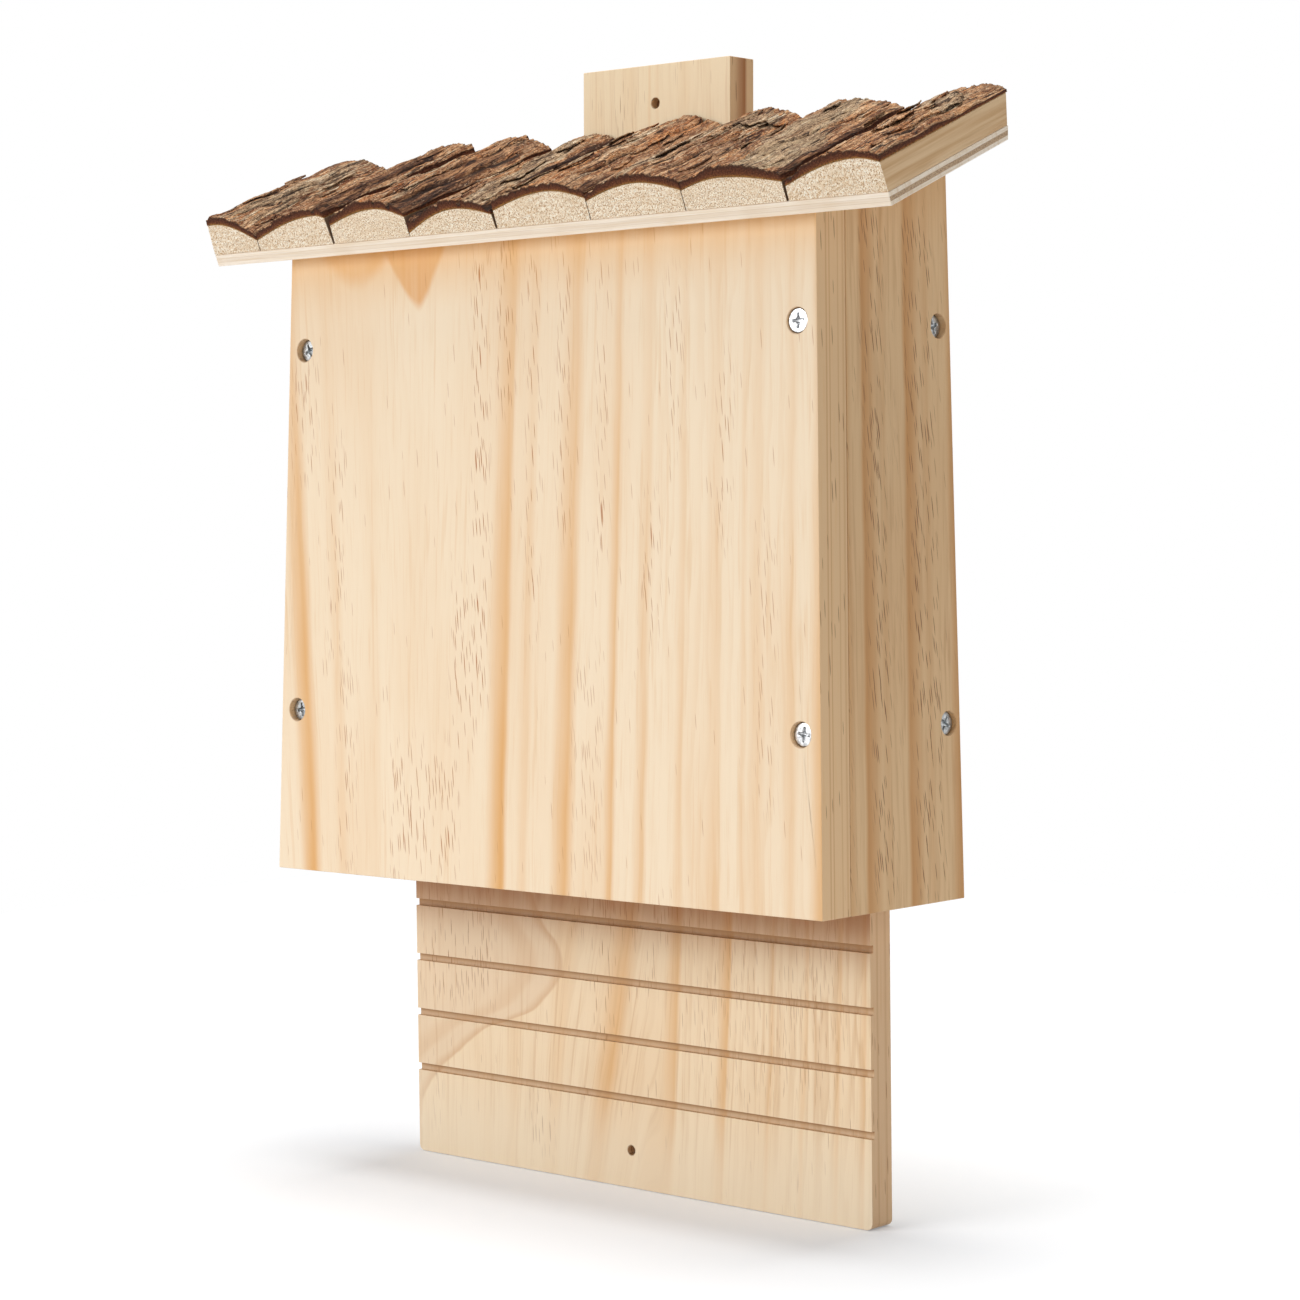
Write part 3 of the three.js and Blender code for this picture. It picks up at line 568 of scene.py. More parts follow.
side_look = {
    "base": (225, 190, 145), "band": (198, 144, 86), "line": (184, 138, 90),
    "stroke": (116, 62, 10), "end": (216, 182, 140), "end_dark": (160, 116, 72),
    "face": 0, "range": (-84, 6), "wave": 0.5, "level": 250, "cloud": 0.18,
    "drift": [(-80, 0.022), (-50, 0.02), (-25, 0.02), (2, 0.012)],
    "bands": [(-58.5, 2.4, 0.5, "low"), (-47.5, 7, 1.0, "low"), (-40, 3, 0.3, None), (-24, 7, 1.0, "low"),
              (-16, 3, 0.3, None), (-1, 4.5, 1.0, None)],
    "ring_period": 4.4, "ring_plain": 0.2,
    "streaks": [(-49, -38, 115, 350, 1.0), (-26, -10, 115, 350, 1.0), (-62.5, -60.5, 115, 345, 0.9),
                (-34, -32, 150, 320, 0.4)],
    "fibre": 0.32, "thin": 0.3, "stray": 0.6, "slant": 0.12, "ring_slope": 0.0,
    # Painted shade under the roof's overhang at the top of the side
    "shading_and_tint": [(335, 366, (206, 156, 100), 0.45)],
}
landing_look = {
    "base": (250, 226, 191), "band": (232, 184, 126), "line": (204, 154, 98),
    "stroke": (154, 90, 32), "edge_stroke": (150, 96, 50), "end": (222, 190, 148), "end_dark": (170, 124, 78),
    "face": -24.2, "range": (-120, 116), "wave": 1.0, "level": 95, "cloud": 0.25,
    "drift": [(-110, 0.0), (-60, 0.06), (-5, 0.2), (20, 0.06), (45, 0.06), (110, 0.02)],
    "bands": [(-60, 6, 0.25, None), (-33, 8, 0.35, None), (-4, 8, 0.85, None), (21, 5.5, 0.8, "high"),
              (45, 4.5, 0.85, "high"), (67, 1.8, 0.6, "high"), (82, 1.8, 0.55, "high"),
              (97, 2.4, 0.6, "high"), (107, 2.4, 0.6, "high")],
    "ring_period": 6.0, "ring_plain": 0.12,
    "ring_areas": [(50, 112, 0, 110, 0.3)],
    "streaks": [(-20, -12, 50, 95, 0.9), (-55, -40, 5, 30, 0.9), (7, 11, 70, 95, 0.8), (57, 62, 80, 90, 0.9),
                (65, 69, 60, 75, 0.9), (84, 88, 75, 90, 0.9), (54, 58, 30, 45, 0.9), (75, 79, 0, 15, 0.9),
                (-99, -93, 60, 95, 1.0), (-110, -70, 60, 112, 0.7), (-110, -100, 5, 40, 0.4),
                (-30, 30, 94, 114, 0.8), (30, 100, 40, 112, 0.35)],
    "fibre": 0.3, "thin": 0.26, "stray": 0.6, "slant": 0.03,
    "edge": ((222, 186, 145), (196, 152, 106), [(-20.5, 1.0, 0.6, "high"), (-16, 1.2, 0.5, "high")], 0.0),
    "swirls": [([(20, -112), (35, -99), (42, -90), (52, -75), (57, -60), (65, -45), (80, -35), (95, -45),
                 (115, -56)], (241, 215, 182), 0.9, (216, 168, 116))],
    # Painted light, paler towards the lower edge, and the box's painted shadow across the board's top
    "shading_and_tint": [(44, 4, (255, 238, 210), 0.65), (84, 110, (176, 112, 58), 0.88)],
    # Painted shade in the grooves, darkest in a line along the upper edge
    "grooves": [(31.7, 21.5, 2.7, -24.2, (176, 128, 78))],
    "hole_shade": [([(-1.8, 13.9)], 1.85, HOLE_SHADE_TONE)],
}
back_look = {
    "base": (255, 233, 196), "band": (244, 208, 160), "line": (212, 164, 112),
    "stroke": (160, 104, 56), "edge_stroke": (130, 84, 46), "end": (222, 190, 148),
    "end_dark": (166, 120, 76),
    "face": -13, "range": (-130, 130), "wave": 0.6, "level": 400, "cloud": 0.2,
    "drift": [(-130, 0.02), (0, 0.01), (130, 0.02)],
    "bands": [(-96, 6, 0.4, "high"), (-70, 5, 0.4, "high"), (-48, 6, 0.35, "high"), (-24, 5, 0.2, None),
              (-8, 6, 0.3, None), (3, 0.9, 0.9, "high"), (6.6, 0.9, 0.9, "high"), (19, 5, 0.25, None),
              (44, 4, 0.5, "high"), (75, 6, 0.4, "high"), (98, 5, 0.5, "high")],
    "ring_period": 7.0, "ring_plain": 0.1,
    "streaks": [(-13, -9, 388, 402, 0.9), (-22, -20, 380, 412, 0.4), (14, 16, 405, 412, 0.8),
                (-6, -3, 385, 400, 0.5), (-60, -40, 100, 300, 0.5), (60, 80, 100, 300, 0.5)],
    "fibre": 0.24, "thin": 0.2, "stray": 0.4, "slant": 0.0,
    "edge": ((226, 188, 142), (160, 98, 44), [(-6.8, 5.2, 1.0, "high"), (-3.9, 0.7, 1.0, "high")], 0.0),
    "hole_shade": [([(6.0 - 0.17, 396.9)], 1.95, HOLE_SHADE_TONE)],
}

pine_front = Pine("pine_front", 1.7, front_look, (X, Z, Y)).build()
pine_right = Pine("pine_right", 4.2, side_look, (Y, Z, X)).build()
pine_left = Pine("pine_left", 9.6, side_look, (Y, Z, X)).build()
pine_landing = Pine("pine_landing", 6.1, landing_look, (X, Z, Y)).build()
pine_back = Pine("pine_back", 12.9, back_look, (X, Z, Y)).build()


# Plywood, log wood and zinc

SLIT_SIDE = 161.5  # sides of slats nearer to the middle than this lie in the slits
RING_WIDTH = 2.6


def plywood():
    g = Graph("plywood")
    x, s, h = g.roof_millimetres()
    thin = g.noise((x * 0.03, s * 0.03, h * 2.4), 3.0, 0.6)
    fibre = g.noise((x * 0.05, s * 0.9, h * 2.2), 3.0, 0.6)
    grain = g.noise((x * 0.02, s * 0.55, 3.0), 3.0, 0.6)
    colour = g.mix(thin.step(0.35, 0.7), (255, 243, 227), (243, 224, 198))
    colour = g.mix(grain.step(0.45, 0.75) * 0.5, colour, (220, 190, 154))

    # The middle ply shows its end grain on the sides and its long grain on the front, between two glue lines
    level = h + g.noise((x * 0.05, s * 0.08, 0.0)).spread(-0.15, 0.15)
    inner = level.step(1.45, 1.6) * level.step(3.1, 2.95)
    ends = g.facing(ALONG_X).step(0.6, 0.9)
    pores = g.noise((x * 0.3, s * 1.6, h * 3.0), 3.0, 0.7)
    core = g.mix(pores.step(0.35, 0.7), (206, 176, 140), (146, 112, 84))
    colour = g.mix(inner * ends * 0.95, colour, core)
    colour = g.mix(inner * (1.0 - ends) * 0.25, colour, (212, 184, 150))
    glue = level.step(1.38, 1.5) * level.step(1.66, 1.54) + level.step(2.9, 3.02) * level.step(3.2, 3.08)
    colour = g.mix(glue * 0.25, colour, (180, 144, 108))
    return g.finish(colour, fibre.spread(0.55, 0.75), fibre + thin * 0.6, 0.12)


def log_wood(middle_x, centre_depth, seed):
    """End grain with rings round the log's middle, and long grain up the slope on its other faces, with
    painted shade on the sides in the slits
    """
    g = Graph("log_wood_%d" % seed)
    x, s, h = g.roof_millimetres()
    wobble = g.noise((x * 0.08, h * 0.08, seed * 3.1))
    radius = (x - middle_x).hypot(h + centre_depth) + wobble.spread(-1.2, 1.2)
    growth = (radius * (1 / RING_WIDTH)).ring((0.4, 0.85))
    distance, pick = g.cells((x * 1.7, h * 1.7, seed * 5.3), "3D")
    pore = distance.step(0.36, 0.14) * pick[0].step(0.3, 0.45)
    grit = g.noise((x * 2.2, h * 1.8, seed * 1.3), 2.0, 0.85)
    blotch = g.noise((x * 0.07, h * 0.09, seed * 2.7))
    end = g.ramp(grit, [(0.34, (255, 252, 240)), (0.48, (253, 238, 213)), (0.56, (228, 196, 156)),
                        (0.64, (150, 106, 66))])
    end = g.mix(blotch.step(0.4, 0.7) * 0.3, end, (222, 192, 152))
    end = g.mix(growth * 0.2, end, (200, 158, 108))
    end = g.mix(pore * 0.4, end, (146, 106, 70))

    fibre = g.noise((x * 0.9, s * 0.03, h * 0.9), 3.0, 0.6)
    grain = g.noise((x * 0.12, s * 0.01, h * 0.35 + seed), 3.0, 0.6)
    long = g.mix(grain.step(0.35, 0.7), (230, 198, 156), (202, 160, 112))
    long = g.mix(fibre.step(0.5, 0.8) * 0.35, long, (176, 134, 88))
    # Painted shade on the long faces in the slits between the slats
    slit_shade = abs(x).step(SLIT_SIDE, SLIT_SIDE - 1) * g.facing(ALONG_X).step(0.5, 0.8)
    long = g.mix(slit_shade * 0.85, long, (74, 46, 30))
    front = g.facing((0, ROOF_COS, ROOF_SIN)).step(0.7, 0.85)
    return g.finish(g.mix(front, long, end), fibre.spread(0.62, 0.8), grit * 0.6 + fibre * 0.4 - pore, 0.16)


def zinc(name, tone, rough):
    g = Graph(name, metallic=1.0)
    x, y, z = g.millimetres()
    cloud = g.noise((x * 0.8, y * 0.8, z * 0.8))
    scratch = g.noise((x * 3.5, y * 3.5, z * 9.0), 3.0, 0.7)
    colour = g.mix(cloud.step(0.35, 0.7), tone, tuple(c * 0.72 for c in tone))
    return g.finish(colour, scratch.spread(rough - 0.1, rough + 0.14), scratch, 0.02)


# The first is a lighter copy of the same zinc: a painted glint for the two front screws on the right, which
# catch the light
zinc_painted_glint = zinc("zinc_painted_glint", (228, 230, 232), 0.3)
zinc_plain = zinc("zinc_plain", (196, 200, 202), 0.34)
BOARD_MATERIALS = {"front_panel": pine_front, "left_side": pine_left, "right_side": pine_right,
                   "landing_board": pine_landing, "back_board": pine_back, "roof_board": plywood()}
BOARD_EDGE, SLAT_EDGE, WELD_DISTANCE = 0.35, 0.25, 0.02
SHARP_ANGLE = 50


def soften(piece, width):
    """Rounds the edges with a modifier, which leaves the mesh alone"""
    edge = piece.modifiers.new("edge", "BEVEL")
    edge.width = width * MM
    edge.segments = 2
    edge.limit_method = "ANGLE"
    edge.angle_limit = math.radians(SHARP_ANGLE)


def dress(node, material):
    """Gives a CAD node its material"""
    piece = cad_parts[node]
    piece.data.materials.clear()
    piece.data.materials.append(material)
    return piece


for node, material in BOARD_MATERIALS.items():
    board = dress(node, material)
    weld = board.modifiers.new("weld", "WELD")
    weld.merge_threshold = WELD_DISTANCE * MM
    soften(board, BOARD_EDGE)
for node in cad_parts:
    if "screw" in node or "pin" in node:
        dress(node, zinc_plain)


# New pieces

def new_piece(name, points, faces, material, smooth=True):
    mesh = bpy.data.meshes.new(name)
    mesh.from_pydata([tuple(p) for p in points], [], faces)
    mesh.validate()
    mesh.update()
    if smooth:
        mesh.shade_smooth()
    mesh.materials.append(material)
    piece = add_object(name, mesh)
    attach(piece, ROOT)
    return piece


def roof_points(x, s, h):
    """Row frame points, in metres, of places given in the roof's frame in millimetres"""
    x, s, h = np.broadcast_arrays(x, s, h)
    y = ROOF_ORIGIN.y + (s * ROOF_COS - h * ROOF_SIN) * MM
    z = ROOF_ORIGIN.z + (s * ROOF_SIN + h * ROOF_COS) * MM
    return np.stack([x * MM, y, z], -1)


def rear_run(h, gap=0.0):
    """How far up the slope the plumb rear cut lies, at a height over the roof board's underside"""
    return (REAR_CUT_Y - gap - ROOF_ORIGIN.y / MM + h * ROOF_SIN) / ROOF_COS


def grid(columns, rows):
    """The quads of a grid of points, and the numbers of its outer points, anticlockwise as seen from above:
    front, right, rear, left"""
    index = np.arange(columns * rows).reshape(columns, rows)
    quads = np.stack([index[:-1, :-1], index[1:, :-1], index[1:, 1:], index[:-1, 1:]], -1)
    border = np.concatenate([index[:-1, 0], index[-1, :-1], index[:0:-1, -1], index[0, :0:-1]])
    return [tuple(q) for q in quads.reshape(-1, 4).tolist()], border


def ring_faces(upper, lower):
    """The quads between two closed rings of point numbers"""
    quads = np.stack([upper, lower, np.roll(lower, -1), np.roll(upper, -1)], -1)
    return [tuple(q) for q in quads.tolist()]


# Noise that gives the same numbers each run

def mix_bits(a, b, seed):
    mask = np.uint64(0xFFFFFFFF)
    n = a.astype(np.int64).astype(np.uint64) * np.uint64(0x9E3779B1)
    n = n + b.astype(np.int64).astype(np.uint64) * np.uint64(0x85EBCA77) + np.uint64(seed * 7919 + 13)
    n &= mask
    for shift, factor in ((15, 0x2C1B3C6D), (12, 0x297A2D39), (15, 0x1B56C4E9)):
        n ^= n >> np.uint64(shift)
        n = (n * np.uint64(factor)) & mask
    n ^= n >> np.uint64(14)
    return n.astype(float) / 4294967295.0


def value_noise(x, y, seed):
    ix, iy = np.floor(x), np.floor(y)
    fx, fy = x - ix, y - iy
    ux, uy = fx * fx * (3 - 2 * fx), fy * fy * (3 - 2 * fy)
    low = mix_bits(ix, iy, seed) * (1 - ux) + mix_bits(ix + 1, iy, seed) * ux
    high = mix_bits(ix, iy + 1, seed) * (1 - ux) + mix_bits(ix + 1, iy + 1, seed) * ux
    return low * (1 - uy) + high * uy


def layered_noise(x, y, seed, octaves=3, gain=0.5):
    total, size, weight = 0.0, 1.0, 0.0
    for octave in range(octaves):
        step = 2.03 ** octave
        total = total + size * value_noise(x * step + 17.7 * octave, y * step - 9.1 * octave, seed + octave)
        weight += size
        size *= gain
    return total / weight


def cells(x, y, seed):
    """Distances to the nearest and second nearest cell points, and the nearest one's number from 0 to 1"""
    ix, iy = np.floor(x), np.floor(y)
    first = np.full(x.shape, 9.0)
    second = np.full(x.shape, 9.0)
    number = np.zeros(x.shape)
    for dx in (-1, 0, 1):
        for dy in (-1, 0, 1):
            cx, cy = ix + dx, iy + dy
            px = cx + 0.1 + 0.8 * mix_bits(cx, cy, seed)
            py = cy + 0.1 + 0.8 * mix_bits(cx, cy, seed + 101)
            distance = np.hypot(px - x, py - y)
            nearer = distance < first
            second = np.where(nearer, first, np.minimum(second, distance))
            number = np.where(nearer, mix_bits(cx, cy, seed + 202), number)
            first = np.where(nearer, distance, first)
    return first, second, number


def smooth_step(value, start, end):
    t = np.clip((value - start) / (end - start), 0, 1)
    return t * t * (3 - 2 * t)


# Half-log slats and their bark

WOOD_BASE = 4.9
SEATED_BASE = 4.64  # the log slats rest on the board
WOOD_RISE = 11.3
WOOD_REAR_GAP = 0.5
SLAT_STEPS = 72
LOG_CENTRE_DEPTH = 22.0
PIN_SEAT_RADIUS, PIN_SEAT_DEPTH = 1.0, 10.4
BARK_LIFT = 0.12
SLAT_RUN = rear_run(12.0)  # from the front to where the rear sizes below are given
# Left sides and widths at the front and at the rear, then the shares of the cross-section, how far the sides
# lean in at the top, and how much thinner the bark is at the rear
SLATS = [
    dict(left=(-162.49, -162.49), width=(26.17, 33.4), shares=(1.0, 1.02, 0.15, 0.35), opening=(0.9, 0.0),
         rear_drop=1.4),
    dict(left=(-136.12, -128.9), width=(40.54, 43.7), shares=(0.35, 0.98, 0.88, 0.87), opening=(0.0, 0.9),
         rear_drop=0.0),
    dict(left=(-94.78, -84.4), width=(39.90, 38.85), shares=(0.6, 1.0, 0.62, 0.64), opening=(0.5, 0.0),
         rear_drop=0.4),
    dict(left=(-54.68, -45.35), width=(43.42, 37.05), shares=(0.1, 0.74, 0.6, 0.45), opening=(0.0, 0.6),
         rear_drop=0.0),
    dict(left=(-10.46, -7.5), width=(44.69, 46.65), shares=(0.56, 1.0, 0.62, 0.66), opening=(0.3, 0.0),
         rear_drop=0.6),
    dict(left=(34.44, 39.36), width=(43.08, 37.25), shares=(0.57, 0.97, 0.55, 0.62), opening=(0.0, 0.0),
         rear_drop=0.9),
    dict(left=(77.71, 76.8), width=(43.42, 43.5), shares=(0.6, 0.87, 0.4, 0.57), opening=(0.0, 0.3),
         rear_drop=0.2),
    dict(left=(121.93, 121.1), width=(40.56, 41.39), shares=(0.43, 1.03, 0.75, 0.85), opening=(0.2, 0.5),
         rear_drop=1.5),
]


def slat_left(slat, s):
    front, rear = slat["left"]
    return front + (rear - front) * s / SLAT_RUN


def slat_width(slat, s):
    front, rear = slat["width"]
    return front + (rear - front) * s / SLAT_RUN


def share_across(slat, x, s):
    """How far across a slat a place on the roof lies, from 0 at its left side to 1 at its right side"""
    return np.clip((x - slat_left(slat, s)) / slat_width(slat, s), 0, 1)


def wood_top(slat, share):
    """Height of the half-log's round over the roof board's underside, at a share across the slat"""
    left_share, crest, crest_at, right_share = slat["shares"]
    rising = share / crest_at
    falling = (1 - share) / (1 - crest_at)
    left = left_share + (crest - left_share) * np.sin(np.clip(rising, 0, 1) * np.pi / 2)
    right = right_share + (crest - right_share) * np.sin(np.clip(falling, 0, 1) * np.pi / 2)
    return WOOD_BASE + WOOD_RISE * np.where(share < crest_at, left, right)


def lean_in(slat, share, x, h):
    """Draws the sides in towards the top, where the slits between the slats open"""
    rise = np.clip((h - WOOD_BASE) / WOOD_RISE, 0, 1.6)
    left, right = slat["opening"]
    return x + rise * (left * (1 - share) - right * share)


def slat_piece(number, slat):
    shares = np.linspace(0, 1, SLAT_STEPS + 1)
    outline = np.concatenate([shares, [1, 0]])
    outline_h = np.concatenate([wood_top(slat, shares), [SEATED_BASE, SEATED_BASE]])
    count = len(outline)
    ends = []
    for s in (np.zeros(count), rear_run(outline_h, WOOD_REAR_GAP)):
        x = slat_left(slat, s) + slat_width(slat, s) * outline
        ends.append(roof_points(lean_in(slat, outline, x, outline_h), s, outline_h))
    faces = [(count + i, count + (i + 1) % count, (i + 1) % count, i) for i in range(count)]
    faces += [tuple(range(count)), tuple(reversed(range(count, 2 * count)))]
    middle = slat["left"][0] + slat["width"][0] * slat["shares"][2]
    piece = new_piece("log_slat_%d" % number, np.concatenate(ends), faces,
                      log_wood(middle, LOG_CENTRE_DEPTH, number), smooth=False)
    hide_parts("slat_%d" % number)
    cut_pin_seats(piece, number)
    soften(piece, SLAT_EDGE)


def cut_pin_seats(piece, number):
    """Opens the slat's underside for its two pins"""
    cutter = bpy.data.meshes.new("seats")
    shape = bmesh.new()
    turn = Matrix.Rotation(ROOF_SLOPE, 4, "X")
    for index in (1, 2):
        low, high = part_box("slat_pin_%d_%d" % (number, index))
        bmesh.ops.create_cone(shape, cap_ends=True, segments=16, radius1=PIN_SEAT_RADIUS * MM,
                              radius2=PIN_SEAT_RADIUS * MM, depth=PIN_SEAT_DEPTH * MM,
                              matrix=Matrix.Translation((low + high) / 2) @ turn)
    shape.to_mesh(cutter)
    shape.free()
    tool = add_object("seats", cutter)
    cut = piece.modifiers.new("seats", "BOOLEAN")
    cut.operation = "DIFFERENCE"
    cut.solver = "EXACT"
    cut.object = tool
    bpy.context.view_layer.update()
    done = bpy.data.meshes.new_from_object(piece.evaluated_get(bpy.context.evaluated_depsgraph_get()))
    piece.modifiers.remove(cut)
    piece.data = done
    bpy.data.objects.remove(tool)


def line_distance(x, s, points):
    """Distance to a line through (x, s) points, and how far along it the nearest place is, from 0 to 1"""
    best = np.full(x.shape, 1e9)
    along = np.zeros(x.shape)
    pieces = len(points) - 1
    for index in range(pieces):
        (ax, ay), (bx, by) = points[index], points[index + 1]
        dx, dy = bx - ax, by - ay
        t = np.clip(((x - ax) * dx + (s - ay) * dy) / (dx * dx + dy * dy), 0, 1)
        distance = np.hypot(x - ax - t * dx, s - ay - t * dy)
        nearer = distance < best
        best = np.where(nearer, distance, best)
        along = np.where(nearer, (index + t) / pieces, along)
    return best, along


# Forms of each bark sheet. Furrows and plates are the solid's: a furrow has its places across at the front
# and rear and its start and end up the slope, as shares, then its half width and depth. A plate has what it
# adds. Fissures are fine, as (half width, depth, points). The zones of each tone are (x, s, reach across,
# reach along, amount).
# The dark zones at the right sides of slats 2 to 7 are partly painted shade on flanks that face away from the
# key light, and partly dark bark.
BARK_FORMS = {
    1: dict(
        lip=0, plates=[0.1, -0.1],
        furrows=[(0.46, 0.58, 0.1, 0.85, 1.1, 1.1)],
        fissures=[(0.4, 0.7, [(-153, 12), (-151.5, 22)]), (0.4, 0.7, [(-159, 5), (-157.5, 14)])],
        zones=dict(
            orange=[(-150, 40, 22, 60, 0.3)],
            pale=[(-148, 40, 12, 50, 0.45)],
            dark=[(-160, 66, 4, 20, 0.4)])),
    2: dict(
        lip=0, plates=[-0.1, 0.2, 0.1, 0],
        furrows=[(0.26, 0.33, 0.05, 0.85, 1.1, 1.2), (0.57, 0.62, 0.1, 0.85, 1.1, 1.2),
                 (0.87, 0.92, 0, 1, 1.7, 1.9)],
        fissures=[(0.4, 0.8, [(-130, 30), (-128, 44)]), (0.4, 0.8, [(-119, 18), (-117, 30)]),
                  (0.45, 0.8, [(-118, 44), (-115, 58)]), (0.4, 0.8, [(-106, 60), (-107, 30), (-109, 8)])],
        zones=dict(
            orange=[(-120, 36, 16, 60, 0.3)],
            dark=[(-98.5, 36, 6, 60, 0.85)],
            pale=[(-127, 50, 6, 26, 0.5), (-110, 46, 4, 30, 0.35)])),
    3: dict(
        lip=0.4, plates=[0.2, 0.4, 0.1, -0.2, -0.5],
        furrows=[(0.25, 0.29, 0.1, 1, 1.2, 1.5), (0.45, 0.49, 0.2, 1, 1.1, 1.3),
                 (0.65, 0.72, 0, 1, 1.2, 1.5), (0.82, 0.91, 0, 0.85, 1.6, 1.9)],
        fissures=[(0.4, 0.8, [(-90, 70), (-91, 30)]), (0.4, 0.8, [(-80, 30), (-79, 60)])],
        zones=dict(
            pale=[(-88, 40, 3.2, 36, 0.85), (-64, 14, 1.6, 12, 0.6), (-73, 50, 2.5, 22, 0.4)],
            orange=[(-78, 40, 9, 40, 0.6), (-64, 54, 5, 12, 0.6)],
            dark=[(-57.5, 22, 6.5, 40, 0.7), (-80, 50, 2, 4, 0.8), (-84, 37, 2, 4, 0.8),
                  (-78, 60, 2, 4, 0.8), (-93, 4, 3, 12, 0.5)])),
    4: dict(
        lip=3.2, plates=[-0.3, -0.2, 0.4, 0.5, -0.3],
        furrows=[(0.2, 0.13, 0.1, 1, 1.2, 1.6), (0.4, 0.31, 0, 1, 1.3, 1.7), (0.66, 0.54, 0, 1, 1.5, 2.0),
                 (0.95, 0.92, 0, 1, 1.6, 1.9)],
        fissures=[(0.4, 0.8, [(-20, 66), (-19, 30), (-18, 4)]), (0.4, 0.8, [(-33, 60), (-31, 20)])],
        zones=dict(
            dark=[(-49, 22, 9, 40, 1.1), (-30, 44, 6, 50, 0.3), (-52, 60, 3, 18, 0.8),
                  (-12.5, 38, 2.4, 60, 0.9)],
            orange=[(-45, 60, 4, 12, 0.7)],
            pale=[(-35, 35, 3.5, 24, 0.9), (-24, 56, 5, 22, 0.85), (-20, 20, 5.5, 40, 1.0)])),
    5: dict(
        lip=0, plates=[0.5, 0.1, 0.2, 0.4, -0.1],
        furrows=[(0.28, 0.17, 0.2, 1, 1.3, 1.6), (0.42, 0.385, 0, 0.95, 1.0, 1.2),
                 (0.59, 0.56, 0.1, 0.85, 1.2, 1.4), (0.78, 0.81, 0.15, 1, 1.4, 1.7)],
        fissures=[(0.4, 0.8, [(-7, 66), (-5, 20)]), (0.4, 0.7, [(20, 60), (19, 22)])],
        zones=dict(
            pale=[(-4, 40, 6.5, 60, 0.95), (19, 50, 4.5, 26, 0.6), (4.5, 30, 2, 30, 0.5)],
            orange=[(12, 30, 6, 50, 0.5), (29, 60, 4, 18, 0.7)],
            dark=[(33, 30, 2, 44, 0.5)])),
    6: dict(
        lip=0.3, plates=[-0.4, 0.4, 0.3, -0.1, 0.2],
        furrows=[(0.1, 0.15, 0.05, 1, 1.3, 1.5), (0.36, 0.37, 0.3, 1, 1.3, 1.6),
                 (0.57, 0.62, 0.05, 0.7, 1.2, 1.4), (0.76, 0.79, 0.1, 0.75, 1.3, 1.5)],
        fissures=[(0.6, 1.0, [(54, 51), (62, 52.5), (70, 52)]), (0.4, 0.8, [(46, 60), (47, 20)]),
                  (0.4, 0.8, [(55, 40), (54, 12)])],
        zones=dict(
            dark=[(39, 36, 2.2, 50, 0.5), (55.5, 63, 2.6, 5, 0.8), (64, 24, 5, 22, 0.4),
                  (76, 20, 2, 40, 0.5)],
            pale=[(45, 26, 3, 30, 0.8), (53, 34, 6, 34, 0.7), (66, 61, 8, 12, 0.6)],
            orange=[(74, 60, 5, 16, 0.5)])),
    7: dict(
        lip=0, plates=[0.1, -0.2, 0.6, 0.5],
        furrows=[(0.16, 0.14, 0.05, 0.9, 1.2, 1.7), (0.28, 0.31, 0.05, 0.9, 1.3, 1.7),
                 (0.47, 0.93, 0.1, 0.85, 1.2, 1.5)],
        fissures=[(0.5, 0.8, [(98, 68), (100, 56)])],
        zones=dict(
            orange=[(86, 32, 5, 40, 1.0), (117, 64, 4, 10, 0.5)],
            dark=[(90, 30, 6, 46, 0.26), (118.5, 56, 2, 12, 0.5), (120.3, 20, 1.5, 40, 0.9)],
            pale=[(101, 52, 9, 30, 0.95), (109, 18, 12, 24, 0.95)],
            flat=[(102, 55, 9, 22, 0.8), (110, 18, 12, 20, 0.8)])),
    8: dict(
        lip=0, plates=[-0.4, 0, 0.3, 0.2],
        furrows=[(0.1, 0.16, 0, 1, 4, 1.3), (0.41, 0.39, 0.4, 1, 1.2, 1.4),
                 (0.66, 0.62, 0.15, 1, 1.2, 1.3)],
        fissures=[(0.4, 0.8, [(133, 66), (134, 40)]), (0.4, 0.7, [(155, 30), (156, 64)])],
        zones=dict(
            dark=[(146, 40, 9, 60, 0.24), (125, 14, 5, 24, 0.9), (125, 48, 4, 20, 0.85),
                  (140, 28, 3, 5, 0.95)],
            pale=[(155, 52, 5.5, 12, 0.7), (142, 62, 4, 16, 0.5), (151, 20, 3, 16, 0.4)],
            orange=[(146, 30, 14, 60, 0.4)])),
}
BARK_THICKNESS = 2.8
BARK_WAVE = 23.0
BARK_REAR_GAP = 0.6
FURROW_FLOOR = 0.3
FURROW_FADE = 0.1
LIP_REACH = 4.5
THIN_BARK = 0.8
LAYERS = 7
BARK_SEED = 300


def furrow_strength(start, end, along):
    """How deep a furrow is at a place along the slope, from 0 to 1"""
    rise = 1.0 if start == 0 else smooth_step(along, start - FURROW_FADE, start + FURROW_FADE)
    fall = 0.0 if end == 1 else smooth_step(along, end - FURROW_FADE, end + FURROW_FADE)
    return rise * (1 - fall)


